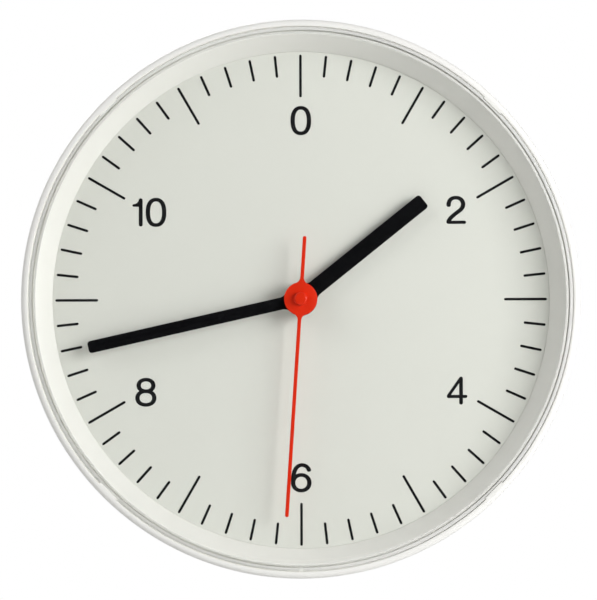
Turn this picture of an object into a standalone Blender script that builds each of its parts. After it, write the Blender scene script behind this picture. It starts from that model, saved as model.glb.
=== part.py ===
# Round wall clock: moulded case, snap-in clear lens, printed dial, three hands and a quartz movement.
# World frame: the origin is on the hands' axis in the wall plane, +Z is up and the front looks along -Y.
# Every piece is a child of one empty whose local X is right, local Y is up and local Z is the height
# from the wall towards the viewer, so the sizes below read as widths, heights and distances off the wall.
import bpy
import bmesh
from math import atan2, cos, hypot, pi, radians, sin, sqrt
from mathutils import Matrix, Vector

mm = 0.001
gap = 0.3 * mm               # left between two separate pieces that seat on or in each other

# Case, all radii from the hands' axis
caseRadius = 132.5 * mm      # at the front shoulder
caseDraft = 1.5 * mm         # the side wall draws in by this much down to the rear rim
caseWall = 2.4 * mm
lipWidth = 3.2 * mm          # from the lens seam to the outside
lipRound = 2.4 * mm
rimRound = 0.6 * mm
grooveWidth = 2.7 * mm       # takes the lens skirt
grooveDepth = 9.8 * mm
ledgeThickness = 2.2 * mm
tabWidth = 10.9 * mm         # four straight tabs on the lip hold the lens down
tabReach = 0.9 * mm          # in from the seam
tabHeight = 1.6 * mm
landWidth = 0.8 * mm         # flat top of the sloped ring
landRise = 3.2 * mm          # of that flat above the groove's floor
slopeWidth = 7.6 * mm        # sloped ring between the dial and the flat
floorThickness = 2.5 * mm
ribThickness = 1.6 * mm
ribDepth = 8.0 * mm
ribCount = 8
hubRibInset = 4.0 * mm       # ring rib outside the movement's corners

# Lens
lensThickness = 2.0 * mm
lensDome = 0.8 * mm
lensProud = 2.0 * mm         # of the lens's middle above the case lip
lensClearance = 2.7 * mm     # between the second hand's cap and the lens
lensEdgeRound = 1.6 * mm
pryNotchWidth = 1.9 * mm
pryNotchHeight = 5.0 * mm

# Stack along the axis, from the wall forward
wallClearance = 3.6 * mm     # from the wall to the movement's cover
movementDepth = 15.4 * mm
gasketThickness = 0.9 * mm
dialThickness = 0.8 * mm
washerThickness = 0.5 * mm
nutThickness = 2.0 * mm
hourHandRise = 4.0 * mm      # from the dial to the hour hand
handPitch = 3.0 * mm         # from one hand to the next
handThickness = 0.6 * mm
secondHandThickness = 0.5 * mm
capHeight = 2.4 * mm

# Hands
hourHandInset = 42.9 * mm    # from the hand's tip to the dial's edge
minuteHandInset = 14.4 * mm
secondHandInset = 14.3 * mm
secondTail = 29.8 * mm
hourHandWidth = 7.5 * mm
minuteHandWidth = 5.8 * mm
secondHandWidth = 1.7 * mm
handHubRadius = 7.8 * mm
secondHubRadius = 7.9 * mm
handTipRound = 1.5 * mm
handFillet = 4.0 * mm
secondFillet = 3.0 * mm
capRadius = 3.15 * mm
hourAngle = radians(51.3)    # clockwise from the twelve o'clock direction
minuteAngle = radians(257.3)
secondAngle = radians(183.8)

# Nested tubes on the axis, from the middle out
secondsArborRadius = 0.45 * mm
runningClearance = 0.4 * mm
cannonWall = 0.6 * mm
hourTubeWall = 0.6 * mm
stemWall = 1.05 * mm
nutWall = 1.3 * mm           # thinnest wall between the nut's flats and its bore
washerWidth = 2.8 * mm
gasketWidth = 9.0 * mm

# Movement housing
movementSide = 56.0 * mm
movementCorner = 2.5 * mm
housingWall = 1.2 * mm
coverThickness = 2.0 * mm
bayWall = 1.0 * mm
batteryRadius = 7.25 * mm
batteryLength = 50.5 * mm
sleeveThickness = 0.25 * mm
nubRadius = 2.75 * mm
nubLength = 1.2 * mm
contactThickness = 0.3 * mm
contactWidth = 5.0 * mm
pivotRadius = 0.35 * mm
pivotDepth = 0.5 * mm        # of each arbor's rear end inside the cover

# Gear train: teeth and modules; each mesh has one module
rotorTeeth = 6
intermediateTeeth = 36
intermediateModule = 0.37 * mm
pinionTeeth = 6
secondsTeeth = 30
secondsModule = 0.45 * mm
thirdTeeth = 45
centreTeeth = 48
centreModule = 0.29 * mm
cannonTeeth = 10
minuteTeeth = 30
minuteModule = 0.42 * mm
minutePinionTeeth = 8
hourTeeth = 32
gearThickness = 0.8 * mm
gearPitch = 1.6 * mm         # between the two sides of the train that pass over each other

# Directions from one axis to the next, anticlockwise from +X
thirdBearing = radians(20)
intermediateBearing = radians(100)
rotorBearing = radians(165)
minuteBearing = radians(150)
setBearing = radians(170)

# Motor and circuit
magnetRadius = 2.6 * mm
magnetLength = 2.7 * mm      # from its front to the intermediate wheel's clearance
statorThickness = 0.8 * mm
statorLobe = 4.6 * mm
statorBar = 3.0 * mm
statorNeck = 5.0 * mm
statorLeg = 2.8 * mm
coilLength = 23.8 * mm
coilRadius = 4.3 * mm
bobbinWall = 0.8 * mm
coreWidth = 2.4 * mm
coreThickness = 0.8 * mm
boardWidth = 13.75 * mm
boardHeight = 23.75 * mm
boardThickness = 1.0 * mm
crystalRadius = 1.0 * mm
crystalLength = 6.0 * mm
chipRadius = 2.6 * mm

# Knob that sets the hands, and the hanger
knobRadius = 4.2 * mm
knobFlutes = 16
knobFluteDepth = 0.5 * mm
hangerInset = 44.0 * mm      # from the case's inner wall down to the nail's seat
hangerWidth = 40.0 * mm
hangerHeight = 20.0 * mm
hangerThickness = 1.0 * mm
hangerRear = 2.4 * mm        # its height off the wall
hangerScrewSpacing = 28.0 * mm
keyholeRadius = 4.2 * mm
keyholeSlot = 2.2 * mm       # half the width of the narrow end
keyholeRise = 6.5 * mm
screwRadius = 1.3 * mm
screwHeadRadius = 2.6 * mm
screwHeadHeight = 1.1 * mm
screwLength = 9.6 * mm
bossRadius = 3.6 * mm

roundSteps = 64              # facets of the case, lens and dial
smallSteps = 16
arborSteps = 8

# Heights off the wall that follow from the sizes above
movementFront = wallClearance + movementDepth
gasketRear = movementFront + gap
floorRear = gasketRear + gasketThickness + gap
floorFront = floorRear + floorThickness
dialRear = floorFront + gap
dialFront = dialRear + dialThickness
washerRear = dialFront + gap
nutRear = washerRear + washerThickness + gap
stemFront = nutRear + nutThickness + 0.1 * mm
hourHandRear = dialFront + hourHandRise
minuteHandRear = hourHandRear + handPitch
secondHandRear = minuteHandRear + handPitch
capRear = secondHandRear + secondHandThickness + gap
lensRear = capRear + capHeight + lensClearance
lensFront = lensRear + lensThickness
lipFront = lensFront - lensProud
grooveFloor = lipFront - grooveDepth
landFront = grooveFloor + landRise
wellFront = dialFront + gap

# Radii that follow
rimRadius = caseRadius - caseDraft
seamRadius = caseRadius - lipWidth
grooveRadius = seamRadius - grooveWidth
slopeTop = grooveRadius - landWidth
wellRadius = slopeTop - slopeWidth
dialRadius = wellRadius - gap
lensRadius = seamRadius - gap
cannonBore = secondsArborRadius + runningClearance
cannonRadius = cannonBore + cannonWall
hourBore = cannonRadius + runningClearance
hourTubeRadius = hourBore + hourTubeWall
stemBore = hourTubeRadius + runningClearance
stemRadius = stemBore + stemWall
stemHole = stemRadius + gap

# Movement: axes in the local XY plane, levels as depths behind the movement's front
half = movementSide / 2
inner = half - housingWall
batteryAxis = -inner + gap + batteryRadius
bayTop = batteryAxis + batteryRadius + gap
gearLow = bayTop + bayWall
batteryDepth = housingWall + gap + batteryRadius
coverInner = movementDepth - coverThickness
arborEnd = coverInner + pivotDepth
hourLevel = housingWall + gap
spacerLevel = hourLevel + gearThickness + gap
spacerThickness = 0.2 * mm
minuteLevel = spacerLevel + spacerThickness + gap
plateLevel = minuteLevel + gearThickness + 2 * gap
plateThickness = 0.8 * mm
centreLevel = plateLevel + plateThickness + gap
thirdLevel = centreLevel + gearPitch
secondsLevel = thirdLevel + gearPitch
intermediateLevel = secondsLevel + gearPitch
magnetLevel = intermediateLevel - gap - magnetLength
coreLevel = thirdLevel
statorLevel = coreLevel + coreThickness + gap
boardLevel = statorLevel + statorThickness + gap

trainDistance = (pinionTeeth + centreTeeth) * centreModule / 2
thirdModule = 2 * trainDistance / (pinionTeeth + thirdTeeth)
secondsDistance = (pinionTeeth + secondsTeeth) * secondsModule / 2
rotorDistance = (rotorTeeth + intermediateTeeth) * intermediateModule / 2
minuteDistance = (cannonTeeth + minuteTeeth) * minuteModule / 2
hourModule = 2 * minuteDistance / (minutePinionTeeth + hourTeeth)


def stepFrom(start, bearing, distance):
    return Vector((start.x + distance * cos(bearing), start.y + distance * sin(bearing)))


centreAxis = Vector((0, 0))
thirdAxis = stepFrom(centreAxis, thirdBearing, trainDistance)
intermediateAxis = stepFrom(centreAxis, intermediateBearing, secondsDistance)
rotorAxis = stepFrom(intermediateAxis, rotorBearing, rotorDistance)
minuteAxis = stepFrom(centreAxis, minuteBearing, minuteDistance)
setAxis = stepFrom(minuteAxis, setBearing, minuteDistance)
coilCentre = Vector((rotorAxis.x + 3.0 * mm, inner - coilRadius - 1.2 * mm))

# Finishes: base colour, roughness, metallic
finishes = {
    "whitePlastic": ((0.86, 0.86, 0.84), 0.38, 0.0),
    "clearPlastic": ((0.94, 0.96, 0.96), 0.08, 0.0),
    "dialSheet": ((0.72, 0.72, 0.68), 0.60, 0.0),
    "blackPaint": ((0.012, 0.012, 0.014), 0.45, 0.0),
    "redPaint": ((0.80, 0.06, 0.02), 0.42, 0.0),
    "brass": ((0.78, 0.60, 0.28), 0.30, 1.0),
    "steel": ((0.62, 0.62, 0.63), 0.32, 1.0),
    "housingPlastic": ((0.055, 0.055, 0.060), 0.50, 0.0),
    "gearPlastic": ((0.86, 0.84, 0.76), 0.42, 0.0),
    "redGear": ((0.62, 0.10, 0.08), 0.42, 0.0),
    "rubber": ((0.03, 0.03, 0.03), 0.85, 0.0),
    "ferrite": ((0.06, 0.055, 0.055), 0.60, 0.3),
    "copper": ((0.72, 0.32, 0.16), 0.35, 1.0),
    "circuitBoard": ((0.05, 0.22, 0.10), 0.55, 0.0),
    "epoxy": ((0.015, 0.015, 0.016), 0.35, 0.0),
    "batterySleeve": ((0.10, 0.22, 0.42), 0.35, 0.0),
}

for oldObject in list(bpy.data.objects):
    bpy.data.objects.remove(oldObject, do_unlink=True)

partsCollection = bpy.data.collections.new("wall_clock")
cutterCollection = bpy.data.collections.new("wall_clock_cutters")
bpy.context.scene.collection.children.link(partsCollection)
bpy.context.scene.collection.children.link(cutterCollection)

# Turns local Z, the height off the wall, to the world's -Y
clockFrame = bpy.data.objects.new("clock_frame", None)
clockFrame.rotation_euler = (radians(90), 0, 0)
partsCollection.objects.link(clockFrame)
bpy.context.view_layer.update()


def addPiece(name, mesh, finish=None, place=(0, 0, 0), turn=(0, 0, 0)):
    piece = bpy.data.objects.new(name, mesh)
    piece.parent = clockFrame
    piece.location = place
    piece.rotation_euler = turn
    partsCollection.objects.link(piece)
    if finish:
        paint(piece, finish)
    return piece


def paint(piece, finish):
    colour, roughness, metallic = finishes[finish]
    material = bpy.data.materials.new(piece.name)
    material.use_nodes = True
    shader = material.node_tree.nodes["Principled BSDF"]
    shader.inputs["Base Color"].default_value = (*colour, 1.0)
    shader.inputs["Roughness"].default_value = roughness
    shader.inputs["Metallic"].default_value = metallic
    material.diffuse_color = (*colour, 1.0)
    piece.data.materials.append(material)


def combine(target, tool, operation):
    for collection in tool.users_collection:
        collection.objects.unlink(tool)
    cutterCollection.objects.link(tool)
    tool.hide_render = True
    tool.display_type = 'WIRE'
    modifier = target.modifiers.new(tool.name, 'BOOLEAN')
    modifier.operation = operation
    modifier.solver = 'EXACT'
    modifier.object = tool


def cut(target, tool):
    combine(target, tool, 'DIFFERENCE')


def join(target, tool):
    combine(target, tool, 'UNION')


def arc(centre, radius, start, end, pieces):
    # Points from angle start to angle end, both included
    turn = (end - start) / pieces
    return [(centre[0] + radius * cos(start + turn * i), centre[1] + radius * sin(start + turn * i))
            for i in range(pieces + 1)]


def circle(centre, radius, pieces):
    return arc(centre, radius, 0, 2 * pi * (1 - 1 / pieces), pieces - 1)


def roundedBox(low, high, radius, pieces=3):
    corners = [(high[0] - radius, high[1] - radius), (low[0] + radius, high[1] - radius),
               (low[0] + radius, low[1] + radius), (high[0] - radius, low[1] + radius)]
    outline = []
    for quarter, corner in enumerate(corners):
        outline += arc(corner, radius, quarter * pi / 2, (quarter + 1) * pi / 2, pieces)
    return outline


def turned(name, outline, finish=None, place=(0, 0, 0), turn=(0, 0, 0), steps=smallSteps, ring=True):
    # The outline holds (radius, height) points and runs down the outer side; a ring's outline closes
    mesh = bpy.data.meshes.new(name)
    points = [(radius, 0, height) for radius, height in outline]
    edges = [(i, i + 1) for i in range(len(points) - 1)]
    if ring:
        edges.append((len(points) - 1, 0))
    mesh.from_pydata(points, edges, [])
    piece = addPiece(name, mesh, finish, place, turn)
    screw = piece.modifiers.new("turn", 'SCREW')
    screw.axis = 'Z'
    screw.angle = 2 * pi
    screw.steps = steps
    screw.render_steps = steps
    screw.use_merge_vertices = True
    screw.merge_threshold = 0.002 * mm
    screw.use_smooth_shade = True
    return piece


def rod(name, radius, rear, front, finish=None, place=(0, 0, 0), turn=(0, 0, 0), steps=arborSteps):
    outline = [(0, front), (radius, front), (radius, rear), (0, rear)]
    return turned(name, outline, finish, place, turn, steps, ring=False)


def tube(name, bore, radius, rear, front, finish=None, place=(0, 0, 0), turn=(0, 0, 0), steps=smallSteps):
    outline = [(bore, front), (radius, front), (radius, rear), (bore, rear)]
    return turned(name, outline, finish, place, turn, steps)


def plate(name, loops, rear, front, finish=None, place=(0, 0, 0), turn=(0, 0, 0)):
    # A flat piece: the first loop is its outline and the others are its holes
    curve = bpy.data.curves.new(name, 'CURVE')
    curve.dimensions = '2D'
    curve.fill_mode = 'BOTH'
    curve.extrude = (front - rear) / 2
    for loop in loops:
        spline = curve.splines.new('POLY')
        spline.points.add(len(loop) - 1)
        for point, (x, y) in zip(spline.points, loop):
            point.co = (x, y, 0, 1)
        spline.use_cyclic_u = True
    source = bpy.data.objects.new(name + "_outline", curve)
    partsCollection.objects.link(source)
    depsgraph = bpy.context.evaluated_depsgraph_get()
    mesh = bpy.data.meshes.new_from_object(source.evaluated_get(depsgraph))
    bpy.data.objects.remove(source, do_unlink=True)
    shape = bmesh.new()
    shape.from_mesh(mesh)
    bmesh.ops.remove_doubles(shape, verts=shape.verts, dist=0.001 * mm)
    bmesh.ops.translate(shape, verts=shape.verts, vec=(0, 0, (rear + front) / 2))
    shape.to_mesh(mesh)
    shape.free()
    mesh.name = name
    return addPiece(name, mesh, finish, place, turn)


def boxes(name, blocks, finish=None):
    # blocks holds (low corner, high corner, turn about local Z) for each box
    shape = bmesh.new()
    for low, high, bearing in blocks:
        size = [h - l for l, h in zip(low, high)]
        middle = [(l + h) / 2 for l, h in zip(low, high)]
        matrix = Matrix.Rotation(bearing, 4, 'Z') @ Matrix.Translation(middle) @ Matrix.Diagonal((*size, 1))
        bmesh.ops.create_cube(shape, size=1, matrix=matrix)
    mesh = bpy.data.meshes.new(name)
    shape.to_mesh(mesh)
    shape.free()
    return addPiece(name, mesh, finish)


def posts(name, places, radius, rear, front, steps=arborSteps):
    # Several separate cylinders in one object, for joining to or cutting from another piece
    shape = bmesh.new()
    for x, y in places:
        matrix = Matrix.Translation((x, y, (rear + front) / 2))
        bmesh.ops.create_cone(shape, cap_ends=True, segments=steps, radius1=radius, radius2=radius,
                              depth=front - rear, matrix=matrix)
    mesh = bpy.data.meshes.new(name)
    shape.to_mesh(mesh)
    shape.free()
    return addPiece(name, mesh)


def behind(depth):
    # Height off the wall of a depth behind the movement's front
    return movementFront - depth


# ---- case ----

def makeCase():
    slopeLength = hypot(slopeWidth, landFront - wellFront)
    lean = Vector((slopeWidth, landFront - wellFront)) / slopeLength
    under = Vector((wellRadius, wellFront)) + caseWall * Vector((lean.y, -lean.x))

    def undersideRadius(height):
        return under.x + (height - under.y) * lean.x / lean.y

    ledgeRear = grooveFloor - ledgeThickness
    shoulder = lipFront - lipRound
    innerWall = rimRadius - caseWall + caseDraft * ledgeRear / shoulder
    lipInnerRound = 0.4 * mm
    outline = arc((caseRadius - lipRound, shoulder), lipRound, pi / 2, 0, 3)
    outline += arc((rimRadius - rimRound, rimRound), rimRound, 0, -pi / 2, 1)
    outline += [
        (rimRadius - caseWall, 0),
        (innerWall, ledgeRear),
        (undersideRadius(ledgeRear), ledgeRear),
        (undersideRadius(floorRear), floorRear),
        (stemHole, floorRear),
        (stemHole, floorFront),
        (wellRadius, floorFront),
        (wellRadius, wellFront),
        (slopeTop, landFront),
        (grooveRadius, landFront),
        (grooveRadius, grooveFloor),
        (seamRadius, grooveFloor),
    ]
    outline += arc((seamRadius + lipInnerRound, lipFront - lipInnerRound), lipInnerRound, pi, pi / 2, 1)
    case = turned("case_body", outline, "whitePlastic", steps=roundSteps)

    # Ribs behind the dial floor, from a ring rib round the movement out to the side wall
    hubRib = half * sqrt(2) + hubRibInset - movementCorner
    ribFront = floorRear + 0.6 * mm
    ribRear = floorRear - ribDepth
    join(case, tube("case_ring_rib", hubRib, hubRib + ribThickness, ribRear, ribFront, steps=32))
    reach = rimRadius - caseWall + 1.4 * mm
    low = (hubRib + ribThickness / 2, -ribThickness / 2, ribRear)
    high = (reach, ribThickness / 2, ribFront)
    join(case, boxes("case_ribs", [(low, high, (i + 0.5) * 2 * pi / ribCount) for i in range(ribCount)]))

    # Bosses that carry the hanger plate
    bossRear = hangerRear + hangerThickness + gap
    places = [(side * hangerScrewSpacing / 2, hangerRise) for side in (-1, 1)]
    join(case, posts("case_bosses", places, bossRadius, bossRear, ribFront, smallSteps))
    holeEnd = hangerRear + screwLength + 2 * gap
    cut(case, posts("case_boss_holes", places, screwRadius + gap, bossRear - 1 * mm, holeEnd))

    # Tabs that reach in from the lip over the lens's edge
    low = (seamRadius - tabReach, -tabWidth / 2, tabRear)
    high = (seamRadius + tabReach, tabWidth / 2, tabRear + tabHeight)
    join(case, boxes("case_tabs", [(low, high, pi / 4 + i * pi / 2) for i in range(4)]))


# ---- lens ----

def makeLens():
    edge = lensRadius - lensEdgeRound
    shoulder = lensFront - lensDome - lensEdgeRound
    skirtInner = grooveRadius + gap
    skirtRear = grooveFloor + gap
    innerRound = 1.2 * mm

    def front(radius):
        return lensFront - lensDome * (radius / edge) ** 2

    outline = [(edge * share, front(edge * share)) for share in (0, 0.4, 0.75)]
    outline += arc((edge, shoulder), lensEdgeRound, pi / 2, 0, 3)
    outline += [(lensRadius, skirtRear), (skirtInner, skirtRear)]
    innerEdge = skirtInner - innerRound
    innerFront = front(innerEdge) - lensThickness
    outline += arc((innerEdge, innerFront - innerRound), innerRound, 0, pi / 2, 1)
    outline += [(edge * share, front(edge * share) - lensThickness) for share in (0.75, 0.4, 0)]
    lens = turned("lens", outline, "clearPlastic", steps=roundSteps, ring=False)
    # Recesses that take the lip's tabs, then the notch for a thin blade at the bottom
    side = tabWidth / 2 + gap
    low = (seamRadius - tabReach - gap, -side, tabRear - gap)
    high = (seamRadius + tabReach, side, lensFront + 1 * mm)
    cut(lens, boxes("lens_recesses", [(low, high, pi / 4 + i * pi / 2) for i in range(4)]))
    low = (-pryNotchWidth / 2, -lensRadius - 1 * mm, skirtRear - 1 * mm)
    high = (pryNotchWidth / 2, -skirtInner + 1 * mm, skirtRear + pryNotchHeight)
    cut(lens, boxes("lens_pry_notch", [(low, high, 0)]))


# ---- dial and hands ----

def handOutline(width, length, hub, fillet, tail=0):
    # Runs clockwise from the tip: one side of the arm, a concave fillet, the hub, and back up
    side = width / 2
    tip = min(handTipRound, 0.8 * side)
    rise = sqrt((hub + fillet) ** 2 - (side + fillet) ** 2)
    lean = atan2(rise, side + fillet)
    right = arc((side - tip, length - tip), tip, pi / 2, 0, 3)
    right += arc((side + fillet, rise), fillet, pi, pi + lean, 4)
    if tail:
        right += arc((0, 0), hub, lean, -lean, 8)[1:-1]
        right += arc((side + fillet, -rise), fillet, pi - lean, pi, 4)
        right += arc((side - tip, tip - tail), tip, 0, -pi / 2, 3)
    else:
        right += arc((0, 0), hub, lean, -pi / 2, 9)[1:]
    left = [(-x, y) for x, y in reversed(right)]
    return right + (left if tail else left[1:])


def makeDial():
    tube("dial", stemHole, dialRadius, dialRear, dialFront, "dialSheet", steps=roundSteps)


def makeHands():
    hourOutline = handOutline(hourHandWidth, dialRadius - hourHandInset, handHubRadius, handFillet)
    plate("hour_hand", [hourOutline, circle((0, 0), hourTubeRadius + gap, smallSteps)],
          hourHandRear, hourHandRear + handThickness, "blackPaint", turn=(0, 0, -hourAngle))
    minuteOutline = handOutline(minuteHandWidth, dialRadius - minuteHandInset, handHubRadius, handFillet)
    plate("minute_hand", [minuteOutline, circle((0, 0), cannonRadius + gap, smallSteps)],
          minuteHandRear, minuteHandRear + handThickness, "blackPaint", turn=(0, 0, -minuteAngle))
    neck = secondsArborRadius + 2 * gap
    secondLength = dialRadius - secondHandInset
    secondOutline = handOutline(secondHandWidth, secondLength, secondHubRadius, secondFillet, secondTail)
    secondFront = secondHandRear + secondHandThickness
    plate("second_hand", [secondOutline, circle((0, 0), neck + gap, arborSteps)],
          secondHandRear, secondFront, "redPaint", turn=(0, 0, -secondAngle))
    # Brass tube that the second hand is riveted to; it presses on the end of the seconds arbor
    flange = neck + 0.6 * mm
    flangeFront = secondHandRear - gap
    outline = [(0, secondFront), (neck, secondFront), (neck, flangeFront), (flange, flangeFront),
               (flange, secondTubeRear), (secondsArborRadius + gap, secondTubeRear),
               (secondsArborRadius + gap, secondsArborFront + gap), (0, secondsArborFront + gap)]
    turned("second_hand_tube", outline, "brass", turn=(0, 0, -secondAngle), steps=arborSteps, ring=False)
    capRound = 1.0 * mm
    outline = [(0, capRear + capHeight)]
    outline += arc((capRadius - capRound, capRear + capHeight - capRound), capRound, pi / 2, 0, 3)
    outline += [(capRadius, capRear), (0, capRear)]
    turned("second_hand_cap", outline, "redPaint", turn=(0, 0, -secondAngle), ring=False)


def makeStemFastening():
    tube("stem_washer", stemHole, stemHole + washerWidth, washerRear, washerRear + washerThickness, "steel")
    corner = (stemHole + nutWall) / cos(pi / 6)
    plate("stem_nut", [circle((0, 0), corner, 6), circle((0, 0), stemHole, smallSteps)],
          nutRear, nutRear + nutThickness, "brass")
    gasketFront = gasketRear + gasketThickness
    tube("movement_gasket", stemHole, stemHole + gasketWidth, gasketRear, gasketFront, "rubber")


# ---- movement housing ----

def makeHousing():
    front = movementFront
    wallFront = front - housingWall
    wallRear = behind(coverInner - gap)
    base = plate("movement_base", [roundedBox((-half, -half), (half, half), movementCorner)],
                 wallRear, front, "housingPlastic")
    mouth = wallRear - 1 * mm
    gearPocket = ((-inner, gearLow, mouth), (inner, inner, wallFront), 0)
    bayPocket = ((-inner, -inner, mouth), (inner, bayTop, wallFront), 0)
    cut(base, boxes("movement_pockets", [gearPocket, bayPocket]))

    # The contact strips pass the bay's wall in a notch at each end
    notch = batteryLength / 2
    notchFront = behind(batteryDepth - contactWidth / 2 - gap)
    low = bayTop - 1 * mm
    high = gearLow + 1 * mm
    left = ((-inner, low, mouth), (-notch, high, notchFront), 0)
    right = ((notch, low, mouth), (inner, high, notchFront), 0)
    cut(base, boxes("movement_contact_notches", [left, right]))
    join(base, rod("movement_stem", stemRadius, wallFront + 0.4 * mm, stemFront, steps=smallSteps))
    cut(base, rod("movement_stem_bore", stemBore, wallFront - 1 * mm, stemFront + 1 * mm, steps=smallSteps))
    postFront = wallFront + 0.4 * mm
    postRear = behind(plateLevel - gap)
    pinRear = behind(plateLevel + plateThickness + 2 * gap)
    boardPostRear = behind(boardLevel - gap)
    join(base, posts("movement_plate_posts", platePosts, postRadius, postRear, postFront))
    join(base, posts("movement_plate_pins", platePosts, locatingRadius, pinRear, postFront - 0.2 * mm))
    join(base, posts("movement_board_posts", boardPosts, boardPostRadius, boardPostRear, postFront))

    # Rear cover: closes the gear chamber and leaves the battery bay open
    cover = plate("movement_cover",
                  [roundedBox((-half, bayTop), (half, half), movementCorner),
                   circle(setAxis, spindleRadius + gap, arborSteps)],
                  behind(movementDepth), behind(coverInner), "housingPlastic")
    blind = pivotDepth + gap
    pivots = [centreAxis, thirdAxis, intermediateAxis, rotorAxis]
    cut(cover, posts("cover_pivot_holes", pivots, secondsArborRadius + gap,
                     behind(coverInner + blind), behind(coverInner - 1 * mm)))

    # Plate between the motion work and the train, on four posts with locating pins
    outline = roundedBox((-plateReach, gearLow + gap), (plateReach, plateTop), movementCorner)
    loops = [outline, circle(centreAxis, cannonRadius + gap, smallSteps)]
    loops.append(circle(setAxis, spindleRadius + gap, arborSteps))
    for axis in (thirdAxis, intermediateAxis, rotorAxis):
        loops.append(circle(axis, pivotRadius + gap, arborSteps))
    for place in platePosts:
        loops.append(circle(place, locatingRadius + gap, arborSteps))
    plate("train_plate", loops, behind(plateLevel + plateThickness), behind(plateLevel), "brass")


# ---- gear train ----

def gearOutline(teeth, module, phase=0.0):
    # Straight-sided teeth with slack: each tooth is narrower than its gap so that a mesh never binds
    radius = teeth * module / 2
    tip = radius + 0.75 * module
    root = radius - 1.15 * module
    pitch = 2 * pi / teeth
    points = []
    for tooth in range(teeth):
        for distance, offset in ((root, -0.24), (tip, -0.10), (tip, 0.10), (root, 0.24)):
            angle = phase + (tooth + offset) * pitch
            points.append((distance * cos(angle), distance * sin(angle)))
    return points


def flutedOutline(radius, depth, count):
    # A grip: shallow flutes between flat-topped ridges
    pitch = 2 * pi / count
    valley = radius - depth
    points = []
    for ridge in range(count):
        for distance, offset in ((valley, -0.30), (radius, -0.18), (radius, 0.18), (valley, 0.30)):
            angle = (ridge + offset) * pitch
            points.append((distance * cos(angle), distance * sin(angle)))
    return points


def matingPhase(teeth, phase, bearing, matingTeeth):
    # Phase that puts a gap of the mating gear over the tooth on the line between the two axes
    share = teeth * (bearing - phase) / (2 * pi)
    return bearing + pi - (2 * pi / matingTeeth) * (0.5 - share)


def arbor(name, radius, frontHeight, rearDepth, place):
    return rod(name, radius, behind(rearDepth), frontHeight, place=(*place, 0))


def wheelWithArbor(name, wheel, pinion, finish, axis, radius, frontHeight):
    # wheel and pinion are (outline, front depth, rear depth); the arbor joins both
    place = (*axis, 0)
    piece = plate(name, [wheel[0]], behind(wheel[2]), behind(wheel[1]), finish, place)
    join(piece, plate(name + "_pinion", [pinion[0]], behind(pinion[2]), behind(pinion[1]), place=place))
    join(piece, arbor(name + "_arbor", radius, frontHeight, arborEnd, axis))


def makeTrain():
    bite = 0.2 * mm              # of a pinion into its own wheel
    overhang = 0.1 * mm          # of a pinion past the wheel it drives
    plateFront = behind(plateLevel + plateThickness / 2)

    # Rotor pinion meshes with the intermediate wheel
    intermediateTip = intermediateLevel + gearThickness
    rotorPhase = 0.0
    intermediatePhase = matingPhase(rotorTeeth, rotorPhase, rotorBearing + pi, intermediateTeeth)
    rotorPlace = (*rotorAxis, 0)
    pinionStart = intermediateLevel - 0.2 * mm
    rotor = plate("rotor_pinion", [gearOutline(rotorTeeth, intermediateModule, rotorPhase)],
                  behind(intermediateTip + 0.3 * mm), behind(pinionStart), "gearPlastic", rotorPlace)
    sleeveRear = behind(pinionStart + bite)
    join(rotor, rod("rotor_sleeve", rotorSleeve, sleeveRear, behind(magnetLevel - gap), place=rotorPlace))
    join(rotor, arbor("rotor_arbor", pivotRadius, plateFront, arborEnd, rotorAxis))
    magnetRear = behind(pinionStart - gap)
    tube("rotor_magnet", rotorSleeve + gap, magnetRadius, magnetRear, behind(magnetLevel),
         "ferrite", rotorPlace)

    # Intermediate pinion meshes with the seconds wheel
    pinionPhase = 0.0
    outline = gearOutline(intermediateTeeth, intermediateModule, intermediatePhase)
    wheel = (outline, intermediateLevel, intermediateTip)
    outline = gearOutline(pinionTeeth, secondsModule, pinionPhase)
    pinion = (outline, secondsLevel - overhang, intermediateLevel + bite)
    wheelWithArbor("intermediate_wheel", wheel, pinion, "gearPlastic", intermediateAxis, pivotRadius,
                   plateFront)

    # Seconds pinion meshes with the third wheel; its arbor runs forward to the second hand
    secondsPhase = matingPhase(pinionTeeth, pinionPhase, intermediateBearing + pi, secondsTeeth)
    secondsPinionPhase = 0.0
    outline = gearOutline(secondsTeeth, secondsModule, secondsPhase)
    wheel = (outline, secondsLevel, secondsLevel + gearThickness)
    outline = gearOutline(pinionTeeth, thirdModule, secondsPinionPhase)
    pinion = (outline, thirdLevel - overhang, secondsLevel + bite)
    wheelWithArbor("seconds_wheel", wheel, pinion, "redGear", centreAxis, secondsArborRadius,
                   secondsArborFront)

    # Third pinion meshes with the centre wheel
    thirdPhase = matingPhase(pinionTeeth, secondsPinionPhase, thirdBearing, thirdTeeth)
    thirdPinionPhase = 0.0
    outline = gearOutline(thirdTeeth, thirdModule, thirdPhase)
    wheel = (outline, thirdLevel, thirdLevel + gearThickness)
    outline = gearOutline(pinionTeeth, centreModule, thirdPinionPhase)
    pinion = (outline, centreLevel - overhang, thirdLevel + bite)
    wheelWithArbor("third_wheel", wheel, pinion, "gearPlastic", thirdAxis, pivotRadius, plateFront)

    # The centre wheel grips the cannon's rear tube by friction, so the hands can be set past it
    centrePhase = matingPhase(pinionTeeth, thirdPinionPhase, thirdBearing + pi, centreTeeth)
    outline = gearOutline(centreTeeth, centreModule, centrePhase)
    plate("centre_wheel", [outline, circle((0, 0), cannonRadius + gap, smallSteps)],
          behind(centreLevel + gearThickness), behind(centreLevel), "gearPlastic")


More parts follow.
